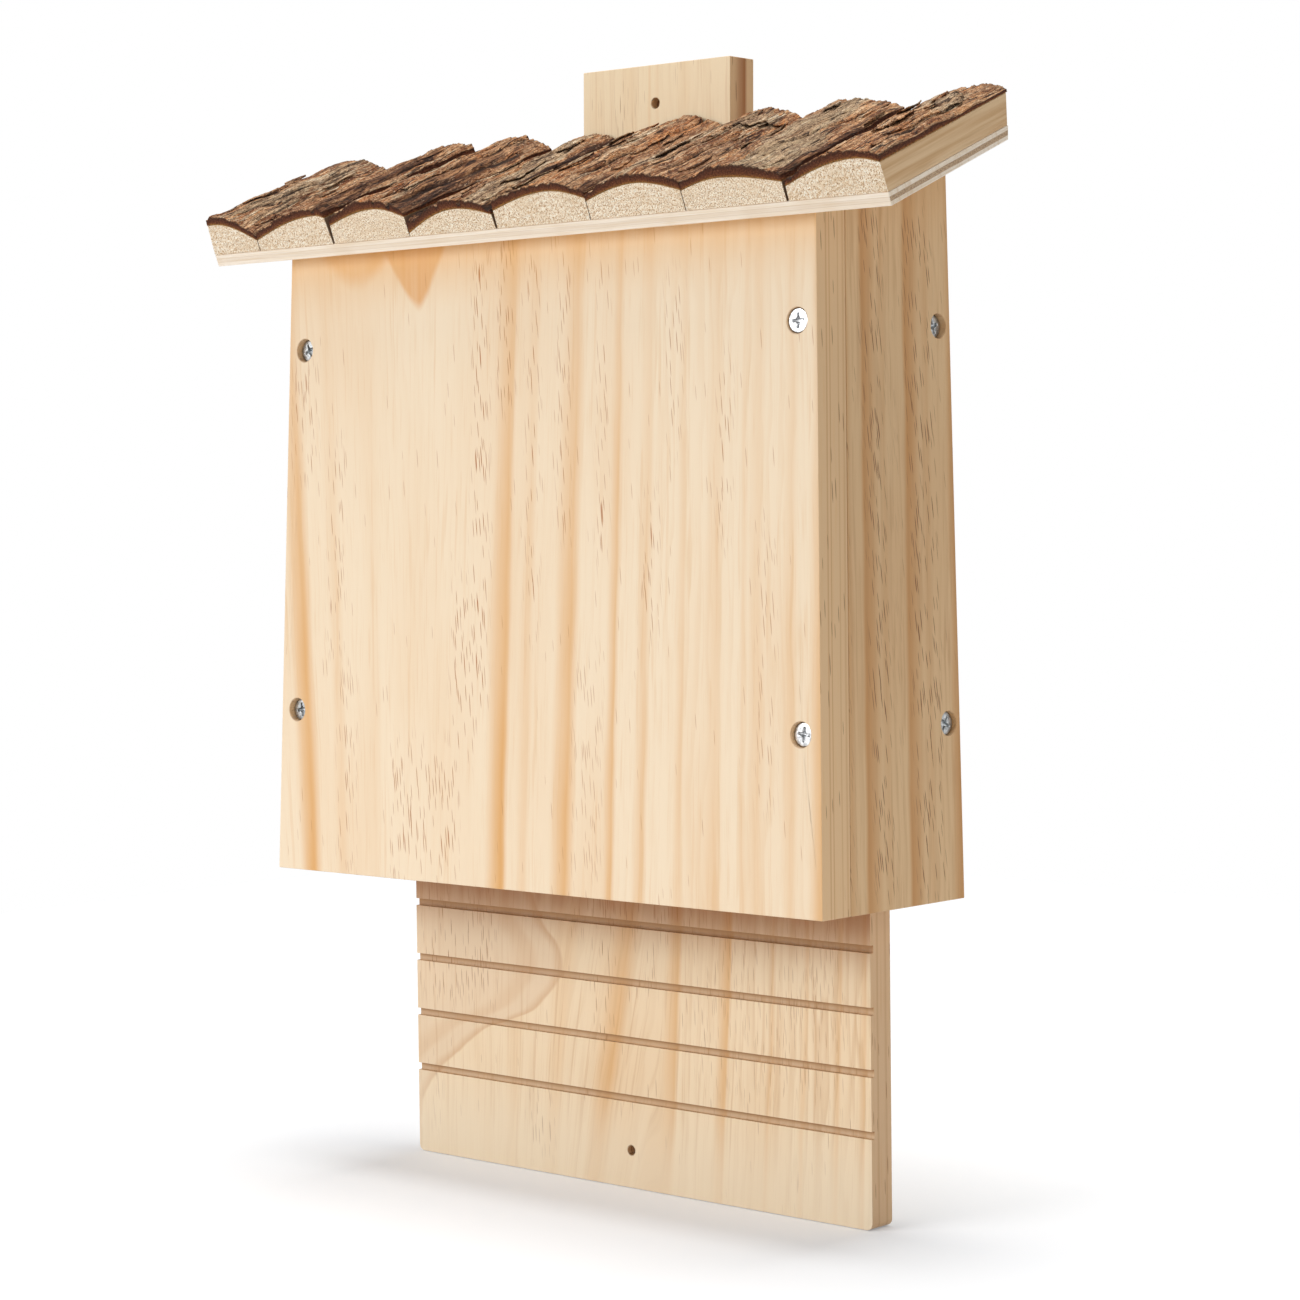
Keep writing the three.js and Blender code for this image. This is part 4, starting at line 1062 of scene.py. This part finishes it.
def bark_forms(number, slat, x, s):
    """Thickness of the bark in millimetres and its tone masks at places on the roof"""
    forms = BARK_FORMS[number]
    seed = BARK_SEED * number
    left = slat_left(slat, s)
    width = slat_width(slat, s)
    across = share_across(slat, x, s)
    along = s / rear_run(wood_top(slat, across) + BARK_THICKNESS, BARK_REAR_GAP)

    def noise(place, sizes, order, octaves=3, gain=0.5):
        return layered_noise(place[0] / sizes[0], place[1] / sizes[1], seed + order, octaves, gain)

    def one_way(values, order, at=0):
        return layered_noise(values, values * 0 + at, seed + order)

    here = (x, s)
    wander = 2.0 * (noise(here, (16, 40), 1) - 0.5)
    wander += 0.7 * (noise(here, (3, 11), 5) - 0.5)
    warped = (x + wander, s + 5 * (noise(here, (5, 15), 9) - 0.5))

    ragged = 0.55 * (noise(here, (2.0, 14), 31) - 0.5)
    ragged += 0.4 * (noise(here, (0.8, 7), 37) - 0.5)
    masks = {}
    for kind in ("pale", "orange", "dark", "flat"):
        masks[kind] = np.zeros(x.shape)
        for zone_x, zone_s, reach_x, reach_s, amount in forms["zones"].get(kind, ()):
            far = np.sqrt(((x - zone_x) / reach_x) ** 2 + ((s - zone_s) / reach_s) ** 2) + ragged
            masks[kind] = np.maximum(masks[kind], amount * (1 - smooth_step(far, 0.8, 1.02)))
    calm = 1 - 0.7 * masks["flat"]

    # The main forms: crown, waves, plates, furrows and the lip
    crown = np.sin(np.pi * np.clip(across, 0, 1))
    wave = np.sin(2 * np.pi * s / BARK_WAVE + number * 1.7 + across * 4)
    thickness = BARK_THICKNESS + 0.7 * (0.5 * wave + 0.8 * crown - 0.4) - slat["rear_drop"] * along
    lip = np.clip(1 - across * width / LIP_REACH, 0, 1)
    thickness += forms["lip"] * lip * lip
    plates = forms["plates"]
    added = np.full(x.shape, plates[0])
    deep = np.zeros(x.shape)
    flank = np.zeros(x.shape)
    for index, (front, rear, start, end, half, depth) in enumerate(forms["furrows"]):
        signed = x + 0.7 * wander - (left + (front + (rear - front) * along) * width)
        strength = furrow_strength(start, end, along)
        swell = half * (0.75 + 0.5 * one_way(s / 4.5, 83 + index, number))
        distance = np.abs(signed)
        inside = 1 - smooth_step(distance, swell * FURROW_FLOOR, swell)
        added += (plates[index + 1] - plates[index]) * smooth_step(signed, -0.5 * half, 0.5 * half)
        thickness -= depth * inside * strength
        deep = np.maximum(deep, (1 - smooth_step(distance, swell * 0.3, swell * 0.85)) * strength)
        flank = np.maximum(flank, np.exp(-((distance - swell * 1.1) / 0.6) ** 2) * strength)
    thickness += added

    # Long plates, ridges and cracks that follow the grain, and flaked layers
    near, next_one, plate = cells(warped[0] / 5.0, warped[1] / 70, seed + 41)
    crack = 1 - smooth_step(next_one - near, 0.0, 0.09)
    crack *= smooth_step(noise(here, (6, 16), 47), 0.4, 0.65) * calm
    small_near, small_next, scale = cells(warped[0] / 1.7, warped[1] / 24, seed + 53)
    small_crack = (1 - smooth_step(small_next - small_near, 0.0, 0.2)) * calm
    small_crack *= smooth_step(noise(here, (4, 12), 57), 0.35, 0.6)
    layers = noise(warped, (4.0, 55), 61, 3, 0.6) * LAYERS
    level = np.floor(layers)
    terrace = (level + smooth_step(layers - level, 0.0, 0.1)) / LAYERS
    ledge = (1 - smooth_step(layers - level, 0.04, 0.22)) * calm
    line = np.abs(noise(warped, (2.2, 45), 67) - 0.5)
    line = (1 - smooth_step(line, 0.008, 0.045)) * smooth_step(noise(here, (5, 14), 69), 0.4, 0.6)
    line *= 0.35 + 0.65 * calm
    ribs = noise(warped, (1.1, 40), 73, 2)
    fibres = noise(here, (0.5, 12), 71, 3, 0.6)
    grains = noise(here, (0.6, 1.1), 79, 2, 0.6)
    thickness += (0.45 * (plate - 0.5) + 0.25 * (scale - 0.5) + 1.2 * (terrace - 0.5)) * calm
    thickness += 0.6 * (ribs - 0.5) * (0.25 + 0.75 * calm)
    thickness -= 0.5 * crack + 0.2 * small_crack + 0.45 * line
    thickness += 0.4 * (fibres - 0.5) * (0.4 + 0.6 * calm) + 0.2 * (grains - 0.5)

    for half_width, depth, points in forms["fissures"]:
        distance, share = line_distance(x + 0.6 * wander, s, points)
        swell = half_width * (0.6 + 0.8 * one_way(s / 4, 89, number))
        swell = swell * smooth_step(share, -0.02, 0.15) * (1 - 0.8 * smooth_step(share, 0.8, 1.0))
        inside = 1 - smooth_step(distance, swell * 0.35, swell * 1.05 + 0.12)
        thickness -= depth * inside
        deep = np.maximum(deep, inside)

    # The edges along the slits and cuts are broken down a little
    worn = 1 - smooth_step(np.minimum(x - left, left + width - x), 0.0, 1.0 + 1.0 * one_way(s / 5, 91))
    thickness -= 0.4 * worn
    front_worn = 1 - smooth_step(s, 0.0, 0.6 + 0.8 * one_way(x / 2.6, 97))
    thickness += (0.1 - 0.7 * one_way(x / 2.4, 99) ** 2) * front_worn
    thickness = np.maximum(thickness, THIN_BARK + 0.3 * grains)

    pale = masks["pale"] + 0.6 * (plate - 0.6) + 0.5 * (terrace - 0.5) + 0.35 * (ribs - 0.5)
    orange = masks["orange"] + 0.5 * (0.5 - terrace) + 0.5 * (scale - 0.6) + 0.3 * flank
    dark = masks["dark"] * (0.75 + 0.7 * (fibres - 0.35)) + 0.3 * (0.35 - plate)
    # Painted shade in cracks, furrows, fissures, terrace ledges and the worn edges by the slits, partly the
    # bark's own darker colour there
    crevice_shade = 0.6 * crack + 0.25 * small_crack + deep + 0.3 * worn + 0.2 * ledge + 0.75 * line
    tone = 0.35 * plate + 0.35 * scale + 0.5 * smooth_step(0.47 - ribs, 0.0, 0.2)
    tones = {"pale": pale, "orange": orange, "dark": dark, "crevice_shade": crevice_shade, "flat": masks["flat"],
             "tone": tone}
    return thickness, {name: np.clip(values, 0, 1) for name, values in tones.items()}


# Colours of fresh, rusty, weathered and dark bark, each from its darkest to its lightest streaks
BARK_RAMPS = [
    [(0.38, (56, 31, 20)), (0.44, (134, 84, 52)), (0.5, (202, 142, 94)), (0.55, (232, 183, 134)),
     (0.61, (252, 224, 188))],
    [(0.38, (66, 32, 18)), (0.46, (168, 98, 52)), (0.54, (224, 151, 92)), (0.61, (246, 196, 142))],
    [(0.38, (74, 53, 37)), (0.45, (152, 122, 92)), (0.52, (202, 174, 138)), (0.61, (246, 226, 196))],
    [(0.4, (26, 15, 10)), (0.47, (60, 36, 24)), (0.53, (114, 75, 50)), (0.6, (184, 136, 96))],
]
# Sawn and broken edges: dark red-brown outside, lighter and yellow at the wood
CUT_RAMP = [(0.0, (60, 34, 23)), (0.3, (86, 47, 30)), (0.62, (108, 60, 36)), (0.84, (130, 78, 42)),
            (0.93, (168, 118, 60)), (1.0, (196, 150, 86))]


def make_bark_material():
    g = Graph("bark")
    x, s, h = g.roof_millimetres()

    def mask(name):
        return g.value("Attribute", {"attribute_name": name}, {}, "Fac")

    def threads(across, along, seed, detail=2.0):
        return g.noise((x * across, s * along, h * (across * 0.7) + seed), detail, 0.62)

    long = threads(0.42, 0.022, 0.0)
    mid = threads(0.85, 0.075, 3.0)
    fine = threads(1.5, 0.32, 7.0)
    grit = g.noise((x * 1.5, s * 0.75, h * 1.5), 2.0, 0.7)
    blotch = threads(0.16, 0.035, 4.0, 3.0)
    streak = long * 0.4 + (mid * 0.36 + fine * 0.24)
    fresh, rust, weathered, black = (g.ramp(streak, stops) for stops in BARK_RAMPS)
    fresh = g.mix(mask("tone") * 0.4, fresh, (134, 82, 50))
    weathered = g.mix(blotch.step(0.46, 0.62) * 0.45, weathered, (176, 132, 92))
    ragged = mid.spread(-0.45, 0.45) + fine.spread(-0.3, 0.3)
    colour = g.mix((mask("orange") + ragged).step(0.25, 0.6) * 0.85, fresh, rust)
    colour = g.mix((mask("pale") + ragged).step(0.34, 0.52), colour, weathered)
    colour = g.mix(mask("flat") * 0.65, colour, (188, 164, 130))

    # Small scales, each with its own tone and a thin dark border, and grit
    for across, along, seed, border in ((0.42, 0.13, 31.0, 0.1), (0.95, 0.36, 37.0, 0.13)):
        place = (x * across + mid.spread(-0.9, 0.9), s * along + fine.spread(-0.6, 0.6), seed)
        _, pick = g.cells(place)
        colour = g.mix(pick[0].step(0.5, 1.0) * 0.4, colour, (96, 58, 38))
        colour = g.mix(pick[1].step(0.55, 1.0) * 0.35, colour, (222, 182, 142))
        rim = g.cell_rims(place).step(border, 0.0) * pick[2].step(0.35, 0.6)
        colour = g.mix(rim * 0.75, colour, (52, 30, 20))
    colour = g.mix(grit.step(0.55, 0.66) * 0.6, colour, (66, 39, 26))
    colour = g.mix(grit.step(0.43, 0.32) * 0.5, colour, (244, 212, 176))

    # Dark bark, which is partly painted shade on the slats' right flanks, hair cracks, and painted shade in
    # the crevices
    colour = g.mix((mask("dark") + ragged).step(0.3, 0.6), colour, black)
    hair = abs(threads(0.5, 0.022, 15.0, 1.0) - 0.5).step(0.024, 0.008) * blotch.step(0.36, 0.46)
    colour = g.mix(hair * 0.9, colour, (40, 23, 16))
    colour = g.mix(mask("crevice_shade").step(0.2, 0.9) * 0.9, colour, (42, 26, 18))

    edge = g.ramp(mask("cut_depth") + fine.spread(-0.1, 0.1), CUT_RAMP)
    edge = g.mix(grit.step(0.45, 0.62) * 0.6, edge, (58, 32, 22))
    edge = g.mix(grit.step(0.42, 0.3) * 0.4, edge, (168, 112, 72))
    colour = g.mix(mask("cut"), colour, edge)
    g.shader.inputs["Specular IOR Level"].default_value = 0.25
    return g.finish(colour, grit.spread(0.75, 0.98), fine * 0.8 + grit * 0.8, 0.85)


bark_material = make_bark_material()
GRID = 0.36
BARK_RUN = 74
SIDE_INSET = 0.0005
WALL_ROWS = 7
FRONT_EDGE = 0.05


def bark_object(name, parts, faces, masks):
    """A piece of bark from arrays of roof places, with its tone masks"""
    piece = new_piece(name, roof_points(*np.concatenate(parts).T), faces, bark_material)
    for key, values in masks.items():
        layer = piece.data.attributes.new(key, "FLOAT", "POINT")
        layer.data.foreach_set("value", np.ascontiguousarray(values, dtype=np.float32))
    return piece


def bark_piece(number, slat):
    seed = BARK_SEED * number
    columns = int(max(slat["width"]) / GRID) + 1
    rows = int(BARK_RUN / GRID) + 1
    share, t = np.meshgrid(np.linspace(SIDE_INSET, 1 - SIDE_INSET, columns), np.linspace(0, 1, rows),
                           indexing="ij")
    base = wood_top(slat, share) + BARK_LIFT
    s = t * rear_run(base + BARK_THICKNESS, BARK_REAR_GAP)
    x = slat_left(slat, s) + slat_width(slat, s) * share
    thickness, tones = bark_forms(number, slat, x, s)
    h = base + thickness
    s = np.where(t >= 0.999, rear_run(h, BARK_REAR_GAP), s)
    top = np.stack([lean_in(slat, share, x, h), s, h], -1).reshape(-1, 3)
    faces, ring = grid(columns, rows)
    count = len(ring)
    outward = np.concatenate([np.tile(way, (steps - 1, 1)) for way, steps in
                              (((0, -1), columns), ((1, 0), rows), ((0, 1), columns), ((-1, 0), rows))])
    outward = outward.astype(float)

    # The walls down to the log
    foot_h = base.reshape(-1)[ring]
    foot_share = share.reshape(-1)[ring]
    upper = top[ring]
    rear = outward[:, 1] > 0
    foot_s = np.where(rear, rear_run(foot_h, BARK_REAR_GAP), upper[:, 1])
    foot_x = slat_left(slat, foot_s) + slat_width(slat, foot_s) * foot_share
    foot_x = lean_in(slat, foot_share, foot_x, foot_h)
    lower = np.stack([foot_x, foot_s, foot_h], -1)
    points = [top]
    cut_depth = [np.zeros(len(top))]
    cut = [np.where(top[:, 1] < FRONT_EDGE, 0.6, 0.0)]
    walk = np.arange(count)
    side_wall = np.abs(outward[:, 0]) > 0
    previous = ring
    for row in range(1, WALL_ROWS + 1):
        down = row / WALL_ROWS
        ragged = layered_noise(walk / 3.2, np.full(count, row * 0.9), seed + 7, 3, 0.6) - 0.62
        layers = layered_noise(np.full(count, row * 0.8), walk / 40, seed + 11) - 0.5
        push = (0.55 * ragged + 0.3 * layers) * math.sin(math.pi * min(1.0, down * 1.15)) * (1 - down ** 3)
        push = np.where(rear, np.minimum(push, 0), push)
        push = np.where(side_wall, np.minimum(push, 0) * 0.6, push)
        place = upper * (1 - down) + lower * down
        place[:, :2] += outward * push[:, None]
        current = sum(len(p) for p in points) + walk
        faces += ring_faces(previous, current)
        points.append(place)
        cut_depth.append(np.full(count, down))
        cut.append(np.ones(count))
        previous = current

    # The underside follows the round of the log
    foot = previous.tolist()
    front_foot = foot[:columns]
    rear_foot = foot[columns + rows - 2:2 * columns + rows - 2][::-1]
    for i in range(1, columns - 2):
        faces.append((front_foot[i], rear_foot[i], rear_foot[i + 1], front_foot[i + 1]))
    faces.append(tuple(reversed(foot[columns - 2:columns + rows])))
    faces.append(tuple(reversed(foot[2 * columns + rows - 4:] + foot[:2])))
    masks = {name: np.concatenate([values.reshape(-1), np.tile(values.reshape(-1)[ring], WALL_ROWS)])
             for name, values in tones.items()}
    masks["cut"] = np.concatenate(cut)
    masks["cut_depth"] = np.concatenate(cut_depth)
    piece = bark_object("bark_sheet_%d" % number, points, faces, masks)
    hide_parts("bark_%d" % number)


FLAKE_ACROSS, FLAKE_ALONG = 9, 25
# Flakes listed one by one, each (x, s, width, length, lift, raised side), before the scattered ones
PLACED_FLAKES = {
    3: [(-88, 58, 4, 20, 0.9, 1), (-80, 30, 5, 16, 0.8, -1)],
    4: [(-35.5, 40, 4, 15, 1.2, 1), (-34, 26, 3.5, 12, 1.0, -1), (-20, 30, 5.5, 26, 0.9, 1),
        (-22, 60, 5, 16, 0.9, 1), (-17, 10, 4, 14, 0.8, -1)],
    5: [(-4, 18, 6, 22, 0.8, 1), (0, 62, 6, 18, 0.9, 1), (19, 54, 6, 18, 0.9, -1), (12, 24, 4, 20, 0.8, 1)],
    6: [(52, 30, 7, 20, 0.9, 1), (66, 60, 8, 12, 1.1, 1), (73, 64, 5, 10, 1.0, -1), (46, 54, 4, 15, 0.8, -1)],
    7: [(88, 36, 3, 26, 1.1, 1), (84, 24, 3, 20, 1.0, -1), (96, 66, 5, 9, 1.2, 1), (121, 56, 5, 13, 0.9, 1)],
    8: [(146, 60, 4, 9, 0.6, 1), (155, 52, 7, 13, 1.1, -1), (140, 50, 4, 14, 1.0, 1),
        (148, 34, 5, 14, 0.9, 1)],
}
SCATTERED_FLAKES = 9
FLAKE_SEED, SCATTER_SEED = 5000, 4200
FLAKE_BORDER, FLAKE_REAR = 0.3, 72.5


def flake(number, slat, seed, x, s, wide, long, lift, raised_side):
    """A thin scale of bark with a torn outline, pressed on along one edge and lifted along the other"""
    u, v = np.meshgrid(np.linspace(-1, 1, FLAKE_ACROSS), np.linspace(-1, 1, FLAKE_ALONG), indexing="ij")
    taper = np.clip(1 - np.abs(v) ** 2.2, 0.02, 1) ** 0.6
    torn = 0.75 + 0.5 * layered_noise(v * 4 + 9, u * 0 + np.sign(u), seed, 3, 0.6)
    px = x + u * taper * torn * wide / 2 + 0.35 * (layered_noise(v * 3, v * 0, seed + 3) - 0.5) * wide
    ps = s + v * long / 2 + 0.6 * (layered_noise(u * 3, v * 2, seed + 5) - 0.5)
    ps = np.clip(ps, FLAKE_BORDER, FLAKE_REAR)
    left = slat_left(slat, ps)
    px = np.clip(px, left + FLAKE_BORDER, left + slat_width(slat, ps) - FLAKE_BORDER)
    thickness, tones = bark_forms(number, slat, px, ps)
    rise = lift * (0.12 + 0.88 * ((raised_side * u + 1) / 2) ** 1.4) * (0.5 + 0.5 * np.cos(v * 1.2))
    curl = 0.25 * lift * (v ** 2)
    smooth = BARK_THICKNESS + 0.5 * (thickness - BARK_THICKNESS)
    low = wood_top(slat, share_across(slat, px, ps)) + BARK_LIFT + rise + curl
    low = low + np.maximum(smooth, thickness - 0.5)
    skin = 0.32 + 0.2 * layered_noise(u * 2, v * 3, seed + 8)
    high = low + skin + 0.18 * (layered_noise(px / 0.7, ps / 2.5, seed + 9) - 0.5)

    count = u.size
    points = np.concatenate([np.stack([px, ps, h], -1).reshape(-1, 3) for h in (high, low)])
    faces, border = grid(FLAKE_ACROSS, FLAKE_ALONG)
    faces += [tuple(count + i for i in reversed(q)) for q in faces]
    faces += ring_faces(border, border + count)
    masks = {name: np.tile(values.reshape(-1), 2) for name, values in tones.items()}
    # Painted shade on each flake's underside, and a little on its top
    masks["crevice_shade"] = np.concatenate([masks["crevice_shade"][:count] * 0.2, np.full(count, 0.6)])
    masks["pale"] = np.clip(masks["pale"] + 0.2, 0, 1)
    masks["cut"] = masks["cut_depth"] = np.zeros(2 * count)
    return points, faces, masks


def flakes_piece(number, slat):
    chance = np.random.default_rng(SCATTER_SEED + number)
    chosen = list(PLACED_FLAKES.get(number, []))
    for _ in range(SCATTERED_FLAKES):
        s = chance.uniform(4, 69)
        x = slat_left(slat, s) + slat_width(slat, s) * chance.uniform(0.08, 0.92)
        wide, long = chance.uniform(1.2, 2.8), chance.uniform(9, 22)
        chosen.append((x, s, wide, long, chance.uniform(0.15, 0.5), chance.choice([-1, 1])))
    points, faces, masks = [], [], {}
    for order, form in enumerate(chosen):
        start = sum(len(p) for p in points)
        seed = FLAKE_SEED + 100 * number + 7 * order
        some_points, some_faces, some_masks = flake(number, slat, seed, *form)
        points.append(some_points)
        faces += [tuple(start + i for i in f) for f in some_faces]
        for name, values in some_masks.items():
            masks.setdefault(name, []).append(values)
    bark_object("bark_flakes_%d" % number, points, faces,
                {name: np.concatenate(values) for name, values in masks.items()})


for number, slat in enumerate(SLATS, start=1):
    slat_piece(number, slat)
    bark_piece(number, slat)
    flakes_piece(number, slat)


# Screws with a rimmed head, a cross recess and a threaded shank

HEAD_RADIUS = 4.0
HEAD_TOP_RADIUS, HEAD_TOP_RISE = HEAD_RADIUS - 0.18, 0.10
HEAD_GRID = 64
# Radius and place of the head's rings, from its rim down to the shank
HEAD_RINGS = [(HEAD_RADIUS - 0.05, -0.16), (HEAD_RADIUS, -0.28), (HEAD_RADIUS, -0.55), (2.4, -2.15),
              (2.0, -2.7)]
SHANK_TOP = 3.2
SHANK_RADIUS = 1.55
SHANK_STEP = 0.3
TIP_LENGTH = 4.0
THREAD_DEPTH = 0.42
THREAD_PITCH = 1.8
RECESS_REACH = 2.6


def recess_depth(x, y):
    """Depth of the cross at a place on the head"""
    depth = 2.0 * (1 - smooth_step(np.hypot(x, y), 0.55, 1.15))
    for a, b in ((x, y), (y, x)):
        reach = np.abs(a)
        floor = 1.9 * (1 - smooth_step(reach, 0.9, RECESS_REACH) * 0.4)
        wall = smooth_step(0.68 - 0.06 * reach - np.abs(b), 0.0, 0.26)
        end = smooth_step(RECESS_REACH - reach, 0.0, 0.25)
        depth = np.maximum(depth, floor * wall * end)
    return depth


def screw_shape(length):
    """Points and faces of a screw along its own -z axis, with the head's top at zero"""
    line = np.linspace(-1, 1, HEAD_GRID + 1)
    u, v = np.meshgrid(line, line, indexing="ij")
    x = HEAD_TOP_RADIUS * u * np.sqrt(1 - v * v / 2)
    y = HEAD_TOP_RADIUS * v * np.sqrt(1 - u * u / 2)
    z = -HEAD_TOP_RISE * (np.hypot(x, y) / HEAD_TOP_RADIUS) ** 4 - recess_depth(x, y)
    points = [np.stack([x, y, z], -1).reshape(-1, 3)]
    faces, previous = grid(*u.shape)
    angle = np.arctan2(points[0][previous, 1], points[0][previous, 0])
    count = len(angle)
    rings = list(HEAD_RINGS)
    steps = int((length - SHANK_TOP) / SHANK_STEP)
    for step in range(steps + 1):
        depth = SHANK_TOP + (length - SHANK_TOP) * step / steps
        turn = (depth / THREAD_PITCH - angle / (2 * math.pi)) % 1
        crest = np.clip(1 - np.abs(turn - 0.5) / 0.24, 0, 1)
        taper = np.clip((length - depth) / TIP_LENGTH, 0.04, 1)
        rings.append(((SHANK_RADIUS + THREAD_DEPTH * crest) * taper, -depth))
    for radius, place in rings:
        current = sum(len(p) for p in points) + np.arange(count)
        points.append(np.stack([radius * np.cos(angle), radius * np.sin(angle), np.full(count, place)], -1))
        faces += ring_faces(previous, current)
        previous = current
    tip = sum(len(p) for p in points)
    points.append(np.array([[0.0, 0.0, -length]]))
    around = previous.tolist()
    faces += [(a, tip, b) for a, b in zip(around, around[1:] + around[:1])]
    return np.concatenate(points), faces


def screw_piece(node, outward, turn, length, material):
    low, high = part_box(node)
    axis = Vector(outward).normalized()
    centre = (low + high) / 2
    main = max(range(3), key=lambda i: abs(axis[i]))
    reach = HEAD_RADIUS * math.sqrt(max(0.0, 1 - axis[main] ** 2)) * MM
    centre[main] = low[main] + reach if axis[main] < 0 else high[main] - reach
    across = Vector((0, 0, 1)).cross(axis).normalized()
    axes = Matrix((across, axis.cross(across), axis)).transposed().to_4x4()
    place = Matrix.Translation(centre) @ axes @ Matrix.Rotation(math.radians(turn), 4, "Z")
    points, faces = screw_shape(length)
    moved = points * MM @ np.array(place.to_3x3()).T + np.array(place.translation)
    piece = new_piece("threaded_" + node, moved, faces, material)
    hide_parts(node)


FRONT_OUT, RIGHT_OUT, LEFT_OUT, REAR_OUT = (0, -1, 0.0291), (1, 0, 0.0235), (-1, 0, 0.0235), (0, 1, 0)
PANEL_SCREW, LANDING_SCREW = 30, 20
# The front screws on the right take the zinc with the painted glint
PANEL_SCREWS = [("front_screw_upper_right", FRONT_OUT, 1, zinc_painted_glint),
                ("front_screw_lower_right", FRONT_OUT, -8, zinc_painted_glint),
                ("front_screw_upper_left", FRONT_OUT, 25, zinc_plain),
                ("front_screw_lower_left", FRONT_OUT, 10, zinc_plain),
                ("side_screw_upper_right", RIGHT_OUT, 20, zinc_plain),
                ("side_screw_lower_right", RIGHT_OUT, -30, zinc_plain),
                ("side_screw_upper_left", LEFT_OUT, 12, zinc_plain),
                ("side_screw_lower_left", LEFT_OUT, 38, zinc_plain)]
for node, outward, turn, material in PANEL_SCREWS:
    screw_piece(node, outward, turn, PANEL_SCREW, material)
for row in ("lower", "upper"):
    for side in ("left", "right"):
        screw_piece("landing_screw_%s_%s" % (row, side), REAR_OUT, 15, LANDING_SCREW, zinc_plain)
